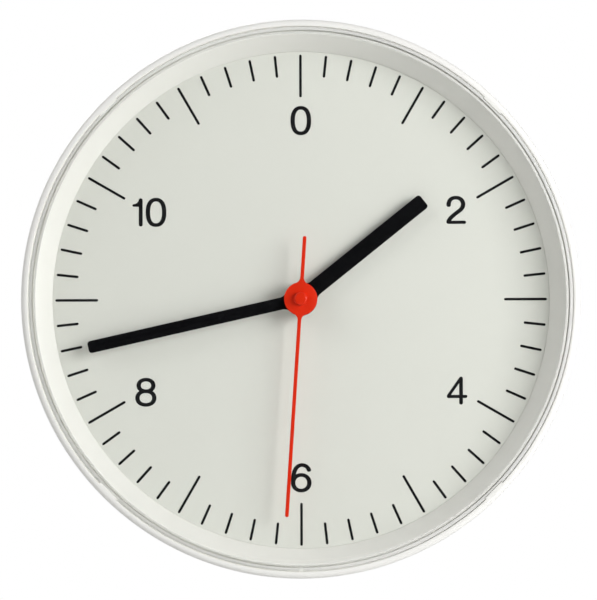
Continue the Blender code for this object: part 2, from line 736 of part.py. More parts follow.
def makeMotionWork():
    # Cannon: pinion and tube in one; the minute hand presses on its front end
    minuteRear = minuteLevel + gearThickness
    wallMiddle = (cannonBore + cannonRadius) / 2
    cannonPhase = 0.0
    cannonEnd = centreLevel + gearThickness + gap + spacerThickness
    outline = gearOutline(cannonTeeth, minuteModule, cannonPhase)
    cannon = plate("cannon_pinion", [outline, circle((0, 0), wallMiddle, smallSteps)],
                   behind(minuteRear), behind(minuteLevel), "gearPlastic")
    cannonFront = minuteHandRear + handThickness + gap
    join(cannon, tube("cannon_tube", cannonBore, cannonRadius, behind(cannonEnd), cannonFront))
    flangeFront = behind(centreLevel + gearThickness + gap)
    join(cannon, tube("cannon_flange", wallMiddle, cannonRadius + 2 * gap, behind(cannonEnd), flangeFront))

    minutePhase = matingPhase(cannonTeeth, cannonPhase, minuteBearing, minuteTeeth)
    pinionPhase = 0.0
    minutePlace = (*minuteAxis, 0)
    wheel = plate("minute_wheel", [gearOutline(minuteTeeth, minuteModule, minutePhase)],
                  behind(minuteRear), behind(minuteLevel), "gearPlastic", minutePlace)
    join(wheel, plate("minute_pinion", [gearOutline(minutePinionTeeth, hourModule, pinionPhase)],
                      behind(minuteLevel + 0.2 * mm), behind(hourLevel), place=minutePlace))
    # One bore runs through both, so it is cut after they are joined
    cut(wheel, rod("minute_bore", pivotRadius + gap, behind(minuteRear + 1 * mm),
                   behind(hourLevel - 1 * mm), place=minutePlace))
    rod("minute_wheel_pin", pivotRadius, behind(plateLevel - gap), behind(hourLevel), "steel", minutePlace)

    hourPhase = matingPhase(minutePinionTeeth, pinionPhase, minuteBearing + pi, hourTeeth)
    hourMiddle = (hourBore + hourTubeRadius) / 2
    outline = gearOutline(hourTeeth, hourModule, hourPhase)
    hourRear = behind(hourLevel + gearThickness)
    hour = plate("hour_wheel", [outline, circle((0, 0), hourMiddle, smallSteps)],
                 hourRear, behind(hourLevel), "gearPlastic")
    hourFront = hourHandRear + handThickness + gap
    join(hour, tube("hour_tube", hourBore, hourTubeRadius, hourRear, hourFront))
    tube("hour_wheel_washer", hourBore, hourBore + 1.6 * mm, behind(spacerLevel + spacerThickness),
         behind(spacerLevel), "steel")

    # Setting train: a hollow spindle on a steel pin, with its pinion in mesh and its knob outside the cover
    setPhase = matingPhase(minuteTeeth, minutePhase, setBearing, cannonTeeth)
    spindleMiddle = (spindleBore + spindleRadius) / 2
    setPlace = (*setAxis, 0)
    outline = gearOutline(cannonTeeth, minuteModule, setPhase)
    spindle = plate("set_spindle", [outline, circle((0, 0), spindleMiddle, arborSteps)],
                    behind(minuteRear), behind(minuteLevel), "gearPlastic", setPlace)
    spindleRear = knobRear + knobFloor + gap
    join(spindle, tube("set_spindle_tube", spindleBore, spindleRadius, spindleRear, behind(minuteLevel),
                       place=setPlace, steps=arborSteps))
    pinRear = behind(movementDepth - 0.5 * mm)
    rod("set_pin", spindleBore - gap, pinRear, behind(hourLevel), "steel", setPlace)
    knobFront = behind(movementDepth) - gap
    knob = plate("set_knob", [flutedOutline(knobRadius, knobFluteDepth, knobFlutes)],
                 knobRear, knobFront, "redGear", setPlace)
    cut(knob, rod("set_knob_bore", spindleRadius + gap, knobRear + knobFloor, knobFront + 1 * mm,
                  place=setPlace))


# ---- motor, circuit and battery ----

def makeMotor():
    left = coilCentre.x - coilLength / 2 - 2 * gap
    right = coilCentre.x + coilLength / 2 + 2 * gap
    top = coilCentre.y + coreWidth / 2 + 2 * gap
    barTop = coilCentre.y - coilRadius - 2 * gap
    barLow = barTop - statorBar
    outline = [(left - statorLeg, top), (left - statorLeg, barLow), (right + statorLeg, barLow),
               (right + statorLeg, top), (right, top), (right, barTop), (left, barTop), (left, top)]
    statorRear = behind(statorLevel + statorThickness)
    statorFront = behind(statorLevel)
    place = (*rotorAxis, 0)
    stator = plate("stator", [outline], statorRear, statorFront, "steel")
    # The neck joins the lobe round the magnet to the bar, however far apart they are
    low = (rotorAxis.x - statorNeck / 2, rotorAxis.y, statorRear)
    high = (rotorAxis.x + statorNeck / 2, barLow + statorBar / 2, statorFront)
    join(stator, boxes("stator_neck", [(low, high, 0)]))
    join(stator, rod("stator_lobe", statorLobe, statorRear, statorFront, place=place, steps=smallSteps))
    cut(stator, rod("stator_hole", magnetRadius + 2 * gap, statorRear - 1 * mm, statorFront + 1 * mm,
                    place=place, steps=smallSteps))

    coreRear = behind(coreLevel + coreThickness)
    core = [((left - statorLeg, coilCentre.y - coreWidth / 2, coreRear),
             (right + statorLeg, coilCentre.y + coreWidth / 2, behind(coreLevel)), 0)]
    boxes("coil_core", core, "steel")

    # Bobbin and winding turn about the core's own axis, along X
    place = (coilCentre.x, coilCentre.y, (coreRear + behind(coreLevel)) / 2)
    alongX = (0, pi / 2, 0)
    bore = hypot(coreWidth, coreThickness) / 2 + gap
    hub = bore + bobbinWall
    end = coilLength / 2
    flange = end - bobbinWall
    outline = [(bore, end), (coilRadius, end), (coilRadius, flange), (hub, flange),
               (hub, -flange), (coilRadius, -flange), (coilRadius, -end), (bore, -end)]
    turned("coil_bobbin", outline, "gearPlastic", place, alongX)
    reach = flange - gap
    tube("coil_winding", hub + gap, coilRadius - 2 * gap, -reach, reach, "copper", place, alongX)


def makeCircuit():
    right = inner - contactThickness - 0.45 * mm - gap
    top = right
    low = (right - boardWidth, top - boardHeight)
    boardRear = behind(boardLevel + boardThickness)
    plate("circuit_board", [roundedBox(low, (right, top), 0.6 * mm)], boardRear, behind(boardLevel),
          "circuitBoard")
    crystalPlace = (right - 3.0 * mm, low[1] + 8 * mm, boardRear - gap - crystalRadius)
    rod("quartz_crystal", crystalRadius, 0, crystalLength, "steel", crystalPlace, (-pi / 2, 0, 0))
    chipFront = boardRear - gap
    outline = [(0, chipFront), (chipRadius, chipFront), (chipRadius * 0.75, chipFront - 0.7 * mm),
               (0, chipFront - 1.0 * mm)]
    chipPlace = (low[0] + 5.2 * mm, low[1] + 13 * mm, 0)
    turned("circuit_chip", outline, "epoxy", chipPlace, ring=False)


def makeBattery():
    place = (0, batteryAxis, behind(batteryDepth))
    alongX = (0, pi / 2, 0)
    end = batteryLength / 2
    shoulder = end - nubLength
    cellRadius = batteryRadius - sleeveThickness - gap
    edge = 0.6 * mm
    outline = [(0, end), (nubRadius, end), (nubRadius, shoulder),
               (cellRadius - edge, shoulder), (cellRadius, shoulder - edge),
               (cellRadius, edge - end), (cellRadius - edge, -end), (0, -end)]
    turned("battery_cell", outline, "steel", place, alongX, ring=False)
    tube("battery_sleeve", batteryRadius - sleeveThickness, batteryRadius,
         2 * edge - end, shoulder - 2 * edge, "batterySleeve", place, alongX)


def contactStrip(name, path):
    # A strip of spring steel standing on edge: an open ribbon along the path, thickened
    curve = bpy.data.curves.new(name, 'CURVE')
    curve.dimensions = '2D'
    curve.fill_mode = 'NONE'
    curve.extrude = contactWidth / 2
    spline = curve.splines.new('POLY')
    spline.points.add(len(path) - 1)
    for point, (x, y) in zip(spline.points, path):
        point.co = (x, y, 0, 1)
    source = bpy.data.objects.new(name + "_path", curve)
    partsCollection.objects.link(source)
    depsgraph = bpy.context.evaluated_depsgraph_get()
    mesh = bpy.data.meshes.new_from_object(source.evaluated_get(depsgraph))
    bpy.data.objects.remove(source, do_unlink=True)
    mesh.name = name
    strip = addPiece(name, mesh, "steel", (0, 0, behind(batteryDepth)))
    solid = strip.modifiers.new("thickness", 'SOLIDIFY')
    solid.thickness = contactThickness
    solid.offset = 0
    solid.use_even_offset = True


def makeContacts():
    # Each strip bulges towards its end of the cell and runs up beside the housing wall to the board
    run = inner - 0.45 * mm - contactThickness / 2
    touch = batteryLength / 2 + gap + contactThickness / 2
    bulge = 3.5 * mm
    foot = batteryAxis - 5.5 * mm
    spring = [(run, foot), (run, batteryAxis - bulge), (touch, batteryAxis), (run, batteryAxis + bulge)]
    contactStrip("contact_positive", spring + [(run, boardHeight / 3)])
    mirrored = [(-x, y) for x, y in spring]
    contactStrip("contact_negative", mirrored + [(-run, run), (run - boardWidth / 2, run)])


# ---- hanger ----

def makeHanger():
    slotTop = hangerRise + keyholeRise
    tilt = atan2(sqrt(keyholeRadius ** 2 - keyholeSlot ** 2), keyholeSlot)
    keyhole = arc((0, hangerRise - keyholeRise / 2), keyholeRadius, pi - tilt, 2 * pi + tilt, 18)
    keyhole += arc((0, slotTop - keyholeRise / 2), keyholeSlot, 0, pi, 6)
    low = (-hangerWidth / 2, hangerRise - hangerHeight / 2)
    high = (hangerWidth / 2, hangerRise + hangerHeight / 2)
    places = [(side * hangerScrewSpacing / 2, hangerRise) for side in (-1, 1)]
    holes = [circle(place, screwRadius + gap, arborSteps) for place in places]
    plate("hanger_plate", [roundedBox(low, high, 3 * mm), keyhole] + holes,
          hangerRear, hangerRear + hangerThickness, "steel")
    headFront = hangerRear - gap
    headRear = headFront - screwHeadHeight
    tip = headFront + screwLength
    outline = [(0, tip), (screwRadius, tip), (screwRadius, headFront),
               (screwHeadRadius, headFront), (screwHeadRadius, headRear + 0.3 * mm),
               (screwHeadRadius - 0.4 * mm, headRear), (0, headRear)]
    for side, place in zip(("left", "right"), places):
        screw = turned("hanger_screw_" + side, outline, "steel", (*place, 0), steps=16, ring=False)
        low = (place[0] - 2 * screwHeadRadius, place[1] - 0.4 * mm, headRear - 1 * mm)
        high = (place[0] + 2 * screwHeadRadius, place[1] + 0.4 * mm, headRear + 0.5 * mm)
        cut(screw, boxes("screw_slot_" + side, [(low, high, 0)]))


# Places shared by two or more pieces
hangerRise = rimRadius - caseWall - hangerInset
tabRear = lipFront - tabHeight - 0.05 * mm
spindleBore = pivotRadius + 0.15 * mm + gap
spindleRadius = spindleBore + gap
rotorSleeve = 0.7 * mm
knobRear = 0.9 * mm
knobFloor = 1.0 * mm
secondTubeRear = minuteHandRear + handThickness + 2 * gap
secondsArborFront = secondHandRear - 2 * gap
postRadius = 1.8 * mm
locatingRadius = 0.8 * mm
boardPostRadius = 1.6 * mm
plateReach = inner - 5.8 * mm          # leaves room for the board's posts
plateTop = coilCentre.y - coilRadius - 0.4 * mm
postX = plateReach - 2.5 * mm
postLow = gearLow + 3.2 * mm
postHigh = plateTop - 3.0 * mm
platePosts = [(-postX, postLow), (postX, postLow), (postX, postHigh), (-postX, postHigh)]
boardPostX = inner - 3.3 * mm
boardPostY = inner - 4.3 * mm
boardPosts = [(boardPostX, 5.0 * mm), (boardPostX, boardPostY), (boardPostX - 9.0 * mm, boardPostY)]

makeCase()
makeLens()
makeDial()
makeHands()
makeStemFastening()
makeHousing()
makeTrain()
makeMotionWork()
makeMotor()
makeCircuit()
makeBattery()
makeContacts()
makeHanger()
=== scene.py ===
from math import atan2, cos, hypot, pi, radians, sin, sqrt

import bmesh
import bpy
from mathutils import Matrix, Vector


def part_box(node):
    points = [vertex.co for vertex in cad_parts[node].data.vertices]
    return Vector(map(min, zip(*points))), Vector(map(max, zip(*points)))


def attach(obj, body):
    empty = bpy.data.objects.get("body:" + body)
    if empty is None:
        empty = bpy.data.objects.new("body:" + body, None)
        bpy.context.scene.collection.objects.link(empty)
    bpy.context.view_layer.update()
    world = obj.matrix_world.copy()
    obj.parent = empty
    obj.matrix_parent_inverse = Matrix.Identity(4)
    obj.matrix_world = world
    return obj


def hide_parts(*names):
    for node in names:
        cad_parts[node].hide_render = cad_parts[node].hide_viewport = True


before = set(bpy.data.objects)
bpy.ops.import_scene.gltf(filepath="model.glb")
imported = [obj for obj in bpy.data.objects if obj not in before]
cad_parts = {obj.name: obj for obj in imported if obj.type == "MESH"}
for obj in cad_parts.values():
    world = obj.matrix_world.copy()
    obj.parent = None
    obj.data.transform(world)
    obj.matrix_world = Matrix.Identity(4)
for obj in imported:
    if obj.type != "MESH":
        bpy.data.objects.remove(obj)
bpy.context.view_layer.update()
print("frame loaded:", len(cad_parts), "solids")

mm = 0.001
tiny = 1e-9                      # shorter than anything real
scene = bpy.context.scene


def at(right, up, height):
    # Right and up as seen from the front, and the height off the wall
    return Vector((right, -height, up))


boxes = {node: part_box(node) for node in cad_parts}


def heights(node):
    low, high = boxes[node]
    return -high.y, -low.y


def rim(node):
    low, high = boxes[node]
    return (high.x - low.x) / 2


def centreOf(node):
    # Right, up and height
    low, high = boxes[node]
    return (low.x + high.x) / 2, (low.z + high.z) / 2, -(low.y + high.y) / 2


def addPiece(name, mesh, body, sharp=35):
    mesh.polygons.foreach_set("use_smooth", [True] * len(mesh.polygons))
    mesh.set_sharp_from_angle(angle=radians(sharp))
    piece = bpy.data.objects.new(name, mesh)
    scene.collection.objects.link(piece)
    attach(piece, body)
    return piece


def arc(centre, radius, start, end, pieces):
    turn = (end - start) / pieces
    return [(centre[0] + radius * cos(start + turn * i), centre[1] + radius * sin(start + turn * i))
            for i in range(pieces + 1)]


def circle(centre, radius, pieces=96):
    return arc(centre, radius, 0, 2 * pi * (1 - 1 / pieces), pieces - 1)


def turnedMesh(name, section, steps=288, breaks=(), ring=True, centre=(0, 0)):
    # section(angle) gives (radius, height) points, always as many; angles run clockwise from the top.
    # At a break the section changes at once, so it gets a cut on either side
    right, up = centre
    clear, apart = 0.001, 0.00005            # radians: how far from a break other cuts stay, and its own lie
    angles = [2 * pi * i / steps for i in range(steps)]
    for b in breaks:
        angles = [a for a in angles if abs(a - b) > clear]
        angles += [b - apart, b + apart]
    angles.sort()
    shape = bmesh.new()
    rows = []
    poles = {}
    for angle in angles:
        row = []
        for i, (radius, height) in enumerate(section(angle)):
            if radius < tiny:
                if i not in poles:
                    poles[i] = shape.verts.new(at(right, up, height))
                row.append(poles[i])
            else:
                row.append(shape.verts.new(at(right + radius * sin(angle), up + radius * cos(angle), height)))
        rows.append(row)
    count = len(rows[0])
    for row, after in zip(rows, rows[1:] + rows[:1]):
        for i in range(count if ring else count - 1):
            j = (i + 1) % count
            corners = []
            for v in (row[i], row[j], after[j], after[i]):
                if v not in corners:
                    corners.append(v)
            if len(corners) > 2:
                shape.faces.new(corners)
    bmesh.ops.recalc_face_normals(shape, faces=shape.faces)
    mesh = bpy.data.meshes.new(name)
    shape.to_mesh(mesh)
    shape.free()
    return mesh


def plateMesh(name, loops, rear, front, bevel=0.0, rounds=2, join=0.0005 * mm):
    # A flat piece: each loop that lies in another is a hole; the edges are rounded by bevel
    curve = bpy.data.curves.new(name, 'CURVE')
    curve.dimensions = '2D'
    curve.fill_mode = 'BOTH'
    curve.extrude = (front - rear) / 2 - bevel
    curve.bevel_depth = bevel
    curve.bevel_resolution = rounds
    curve.offset = -bevel
    for loop in loops:
        spline = curve.splines.new('POLY')
        spline.points.add(len(loop) - 1)
        for point, (x, y) in zip(spline.points, loop):
            point.co = (x, y, 0, 1)
        spline.use_cyclic_u = True
    source = bpy.data.objects.new(name, curve)
    mesh = bpy.data.meshes.new_from_object(source)
    bpy.data.objects.remove(source)
    shape = bmesh.new()
    shape.from_mesh(mesh)
    bmesh.ops.remove_doubles(shape, verts=shape.verts, dist=join)
    middle = (rear + front) / 2
    for v in shape.verts:
        v.co = at(v.co.x, v.co.y, middle + v.co.z)
    bmesh.ops.recalc_face_normals(shape, faces=shape.faces)
    shape.to_mesh(mesh)
    shape.free()
    mesh.name = name
    return mesh


def merged(name, meshes):
    shape = bmesh.new()
    for mesh in meshes:
        shape.from_mesh(mesh)
    whole = bpy.data.meshes.new(name)
    shape.to_mesh(whole)
    shape.free()
    return whole


def soften(piece, width, angle=40, segments=2, join=0.001 * mm):
    # Joins the split corners of a CAD solid, then rounds its edges
    weld = piece.modifiers.new("weld", 'WELD')
    weld.merge_threshold = join
    bevel = piece.modifiers.new("edges", 'BEVEL')
    bevel.width = width
    bevel.segments = segments
    bevel.limit_method = 'ANGLE'
    bevel.angle_limit = radians(angle)
    bevel.use_clamp_overlap = True
    bevel.harden_normals = False


class Nodes:
    # A short way to write a material's nodes
    def __init__(self, name):
        self.material = bpy.data.materials.new(name)
        self.material.use_nodes = True
        self.tree = self.material.node_tree
        self.shader = self.tree.nodes["Principled BSDF"]
        self.output = self.tree.nodes["Material Output"]
        self.place = self.add("ShaderNodeTexCoord").outputs["Object"]

    def add(self, kind, **values):
        node = self.tree.nodes.new(kind)
        for key, value in values.items():
            if hasattr(node, key):
                setattr(node, key, value)
            else:
                node.inputs[key.replace("_", " ").title()].default_value = value
        return node

    def link(self, source, target):
        self.tree.links.new(source, target)

    def stretched(self, scale):
        node = self.add("ShaderNodeMapping")
        node.inputs["Scale"].default_value = scale
        self.link(self.place, node.inputs["Vector"])
        return node.outputs["Vector"]

    def noise(self, scale, detail=3.0, roughness=0.55, vector=None):
        node = self.add("ShaderNodeTexNoise", scale=scale, detail=detail, roughness=roughness)
        self.link(vector or self.place, node.inputs["Vector"])
        return node.outputs["Fac"]

    def ranged(self, source, low, high, start=0.3, end=0.7):
        node = self.add("ShaderNodeMapRange")
        node.inputs["From Min"].default_value = start
        node.inputs["From Max"].default_value = end
        node.inputs["To Min"].default_value = low
        node.inputs["To Max"].default_value = high
        self.link(source, node.inputs["Value"])
        return node.outputs["Result"]

    def mixed(self, amount, first, second):
        node = self.add("ShaderNodeMix", data_type='RGBA')
        self.link(amount, node.inputs["Factor"])
        for value, socket in ((first, node.inputs[6]), (second, node.inputs[7])):
            if isinstance(value, tuple):
                socket.default_value = (*value, 1.0)
            else:
                self.link(value, socket)
        return node.outputs[2]

    def bump(self, source, strength, distance):
        node = self.add("ShaderNodeBump")
        node.inputs["Strength"].default_value = strength
        node.inputs["Distance"].default_value = distance
        self.link(source, node.inputs["Height"])
        self.link(node.outputs["Normal"], self.shader.inputs["Normal"])


def shade(colour, amount):
    return tuple(min(1.0, c * amount) for c in colour)


def solidFinish(name, look):
    # Moulded plastic, paint, ink or rubber: faint cloudiness, fine grain and uneven gloss
    n = Nodes(name)
    colour = look["colour"]
    cloud = n.ranged(n.noise(look.get("cloudScale", 35.0)), 0.0, 1.0)
    spread = look.get("spread", 0.02)
    shades = n.mixed(cloud, shade(colour, 1 - spread), shade(colour, 1 + spread))
    n.link(shades, n.shader.inputs["Base Color"])
    low, high = look["rough"]
    n.link(n.ranged(n.noise(look.get("glossScale", 140.0)), low, high), n.shader.inputs["Roughness"])
    grain = n.noise(look.get("grainScale", 2600.0), detail=4.0)
    n.bump(grain, strength=look.get("grain", 0.1), distance=0.05 * mm)
    n.shader.inputs["Metallic"].default_value = look.get("metallic", 0.0)
    n.shader.inputs["Specular IOR Level"].default_value = look.get("specular", 0.5)
    return n.material


def brushedFinish(name, look):
    # Rolled or turned metal: long fine streaks along one direction, and faint stains
    n = Nodes(name)
    along = n.stretched(look.get("along", (0.04, 1.0, 1.0)))
    streaks = n.noise(look.get("streakScale", 900.0), detail=4.0, roughness=0.6, vector=along)
    stains = n.ranged(n.noise(look.get("stainScale", 90.0)), 0.0, 1.0)
    stained, bright = look.get("stains", (0.88, 1.05))
    shades = n.mixed(stains, shade(look["colour"], stained), shade(look["colour"], bright))
    n.link(shades, n.shader.inputs["Base Color"])
    low, high = look["rough"]
    n.link(n.ranged(streaks, low, high), n.shader.inputs["Roughness"])
    n.bump(streaks, strength=look.get("grain", 0.15), distance=0.02 * mm)
    n.shader.inputs["Metallic"].default_value = 1.0
    return n.material


def clearFinish(name, look):
    # Clear or milky moulding with faint wipe marks; lamps and soft light pass straight through it
    n = Nodes(name)
    n.shader.inputs["Base Color"].default_value = (*look["colour"], 1.0)
    n.shader.inputs["Transmission Weight"].default_value = look["clear"]
    n.shader.inputs["IOR"].default_value = look["bends"]
    low, high = look["rough"]
    along = n.stretched((1.0, 1.0, 0.25))
    wipes = n.noise(look.get("wipeScale", 14.0), detail=3.0, roughness=0.5, vector=along)
    n.link(n.ranged(wipes, low, high, start=0.45, end=0.75), n.shader.inputs["Roughness"])
    paths = n.add("ShaderNodeLightPath")
    through = n.add("ShaderNodeBsdfTransparent")
    through.inputs["Color"].default_value = (*look["passes"], 1.0)
    surface = n.shader.outputs["BSDF"]
    for kind in ("Is Shadow Ray", "Is Diffuse Ray"):
        mix = n.add("ShaderNodeMixShader")
        n.link(paths.outputs[kind], mix.inputs[0])
        n.link(surface, mix.inputs[1])
        n.link(through.outputs[0], mix.inputs[2])
        surface = mix.outputs[0]
    n.link(surface, n.output.inputs["Surface"])
    return n.material


def wireFinish(name, look):
    # Enamelled wire laid turn by turn along X, with painted shade in the grooves between the turns
    n = Nodes(name)
    turns = n.add("ShaderNodeTexWave", bands_direction='X', wave_profile='SIN')
    turns.inputs["Scale"].default_value = look["turnScale"]
    turns.inputs["Distortion"].default_value = look["unevenness"]
    n.link(n.place, turns.inputs["Vector"])
    # Painted shade: in the grooves between the turns the colour darkens to a fraction of itself, where the
    # round wire falls into shade
    shades = n.mixed(turns.outputs["Fac"], shade(look["colour"], look["between"]), look["colour"])
    n.link(shades, n.shader.inputs["Base Color"])
    n.link(n.ranged(n.noise(scale=300.0), *look["rough"]), n.shader.inputs["Roughness"])
    n.bump(turns.outputs["Fac"], strength=0.8, distance=0.05 * mm)
    n.shader.inputs["Metallic"].default_value = 1.0
    return n.material


def boardFinish(name, look):
    # Solder mask over copper tracks
    n = Nodes(name)
    cells = n.add("ShaderNodeTexVoronoi", feature='DISTANCE_TO_EDGE')
    cells.inputs["Scale"].default_value = look["trackScale"]
    n.link(n.place, cells.inputs["Vector"])
    tracks = n.ranged(cells.outputs["Distance"], 1.0, 0.0, *look["trackEdge"])
    n.link(n.mixed(tracks, look["colour"], look["trackColour"]), n.shader.inputs["Base Color"])
    n.link(n.ranged(n.noise(scale=500.0), *look["rough"]), n.shader.inputs["Roughness"])
    n.bump(tracks, strength=0.4, distance=0.03 * mm)
    return n.material


def sleeveFinish(name, look):
    # Printed shrink sleeve in two plain colours, parted across the cell
    n = Nodes(name)
    split = n.add("ShaderNodeSeparateXYZ")
    n.link(n.place, split.inputs[0])
    parting, blur = look["parting"], look["blur"]
    band = n.ranged(split.outputs["X"], 0.0, 1.0, parting - blur, parting + blur)
    cloud = n.noise(scale=120.0)
    dark, light = 1 - look["spread"], 1 + look["spread"]
    base = n.mixed(cloud, shade(look["colour"], dark), shade(look["colour"], light))
    tip = n.mixed(cloud, shade(look["tip"], dark), shade(look["tip"], light))
    n.link(n.mixed(band, base, tip), n.shader.inputs["Base Color"])
    n.link(n.ranged(n.noise(scale=400.0), *look["rough"]), n.shader.inputs["Roughness"])
    n.bump(n.noise(scale=900.0), strength=0.1, distance=0.03 * mm)
    n.shader.inputs["Metallic"].default_value = look["metallic"]
    return n.material


looks = {
    "caseWhite": (solidFinish, {"colour": (0.80, 0.795, 0.768), "spread": 0.008, "rough": (0.30, 0.40),
                                "grain": 0.06}),
    "dialGrey": (solidFinish, {"colour": (0.745, 0.752, 0.712), "spread": 0.006, "cloudScale": 18.0,
                               "rough": (0.50, 0.62), "grain": 0.05, "grainScale": 4200.0, "specular": 0.3}),
    "printBlack": (solidFinish, {"colour": (0.006, 0.006, 0.007), "spread": 0.2, "cloudScale": 300.0,
                                 "rough": (0.5, 0.7), "grain": 0.1, "grainScale": 5000.0, "specular": 0.1}),
    "handBlack": (solidFinish, {"colour": (0.0030, 0.0030, 0.0038), "spread": 0.15, "cloudScale": 200.0,
                                "rough": (0.22, 0.28), "grain": 0.08, "grainScale": 1800.0,
                                "specular": 0.09}),
    "handRed": (solidFinish, {"colour": (0.72, 0.022, 0.002), "spread": 0.03, "cloudScale": 150.0,
                              "rough": (0.28, 0.36), "grain": 0.10, "grainScale": 1800.0, "specular": 0.2}),
    "housingBlack": (solidFinish, {"colour": (0.030, 0.030, 0.033), "spread": 0.08, "rough": (0.42, 0.58),
                                   "grain": 0.45, "grainScale": 3200.0}),
    "naturalPlastic": (solidFinish, {"colour": (0.80, 0.78, 0.70), "spread": 0.03, "rough": (0.35, 0.5),
                                     "grain": 0.15}),
    "redPlastic": (solidFinish, {"colour": (0.55, 0.06, 0.045), "spread": 0.04, "rough": (0.32, 0.46),
                                 "grain": 0.2}),
    "rubber": (solidFinish, {"colour": (0.022, 0.022, 0.022), "spread": 0.12, "rough": (0.75, 0.9),
                             "grain": 0.5, "grainScale": 1500.0}),
    "ferrite": (solidFinish, {"colour": (0.05, 0.047, 0.047), "spread": 0.1, "rough": (0.45, 0.6),
                              "grain": 0.4, "metallic": 0.4}),
    "epoxy": (solidFinish, {"colour": (0.012, 0.012, 0.013), "spread": 0.1, "rough": (0.12, 0.25),
                            "grain": 0.1}),
    "brass": (brushedFinish, {"colour": (0.78, 0.58, 0.27), "rough": (0.22, 0.38)}),
    "zincSteel": (brushedFinish, {"colour": (0.50, 0.50, 0.50), "rough": (0.26, 0.45)}),
    "printGrey": (solidFinish, {"colour": (0.42, 0.42, 0.41), "spread": 0.06, "cloudScale": 300.0,
                                "rough": (0.5, 0.7), "grain": 0.1, "specular": 0.3}),
    "springSteel": (brushedFinish, {"colour": (0.70, 0.69, 0.67), "rough": (0.16, 0.30),
                                    "along": (1.0, 0.05, 1.0)}),
    "canSteel": (brushedFinish, {"colour": (0.74, 0.74, 0.73), "rough": (0.18, 0.32),
                                 "along": (1.0, 0.1, 0.1)}),
    # The winding's darker share between its turns is painted shade
    "copperWire": (wireFinish, {"colour": (0.72, 0.30, 0.13), "rough": (0.25, 0.4), "turnScale": 400.0,
                                "unevenness": 0.6, "between": 0.35}),
    "boardGreen": (boardFinish, {"colour": (0.015, 0.13, 0.05), "trackColour": (0.033, 0.286, 0.11),
                                 "rough": (0.25, 0.42), "trackScale": 320.0, "trackEdge": (0.05, 0.09)}),
    "sleeve": (sleeveFinish, {"colour": (0.030, 0.085, 0.19), "tip": (0.62, 0.36, 0.10), "spread": 0.07,
                              "parting": 12.0 * mm, "blur": 0.05 * mm, "rough": (0.22, 0.34),
                              "metallic": 0.3}),
    "lensClear": (clearFinish, {"colour": (0.985, 0.992, 0.988), "passes": (0.965, 0.966, 0.952),
                                "rough": (0.0, 0.03), "bends": 1.49, "clear": 1.0}),
    "lensRim": (clearFinish, {"colour": (0.90, 0.90, 0.885), "passes": (0.965, 0.966, 0.952),
                              "rough": (0.04, 0.12), "bends": 1.14, "clear": 0.45}),
}
finishes = {name: make(name, look) for name, (make, look) in looks.items()}
print("finishes made:", len(finishes))


def finish(piece, name):
    piece.data.materials.clear()
    piece.data.materials.append(finishes[name])


# The case is one moulding: a turned shell, and the ribs and hanger bosses behind the dial
caseShape = {
    "rearRadius": 131.0 * mm,
    "wall": 2.4 * mm,
    "lipRound": 2.4 * mm,
    "rimRound": 0.6 * mm,
    "seam": 129.3 * mm,          # inner side of the lip
    "lipEdge": 0.35 * mm,        # round of the lip's inner edge
    "groove": 126.6 * mm,        # inner side of the groove for the lens
    "grooveFloor": 30.2 * mm,
    "land": 33.4 * mm,
    "grooveRound": 0.2 * mm,
    "slopeTop": 125.8 * mm,
    "crest": (0.30 * mm, 0.45 * mm),    # how far the round of the slope's top lies outward, and its radius
    "crestSweep": 0.9,           # share of the round that is drawn
    "well": 118.2 * mm,          # foot of the slope, round the dial
    "wellTop": 24.4 * mm,
    "foot": [(0.0, -0.25 * mm), (0.08 * mm, -0.07 * mm), (0.22 * mm, 0.2 * mm)],     # its round: outward, up
    "floor": (20.5 * mm, 23.0 * mm),
    "hole": 4.2 * mm,
    "ledge": 28.0 * mm,          # where the side wall meets the slope's underside
    "ledgeRound": 0.8 * mm,
    "tabWidth": 10.9 * mm,
    "tabReach": 128.4 * mm,
    "tabRear": 38.35 * mm,
    "tabDrop": 0.02 * mm,
}
tabTurns = [pi / 4 + i * pi / 2 for i in range(4)]
tabHalf = atan2(caseShape["tabWidth"] / 2, caseShape["tabReach"])


def tabInner(angle):
    # Radius of a tab's straight inner side at this angle, or None between the tabs
    for turn in tabTurns:
        if abs(angle - turn) < tabHalf:
            return caseShape["tabReach"] / cos(angle - turn)
    return None


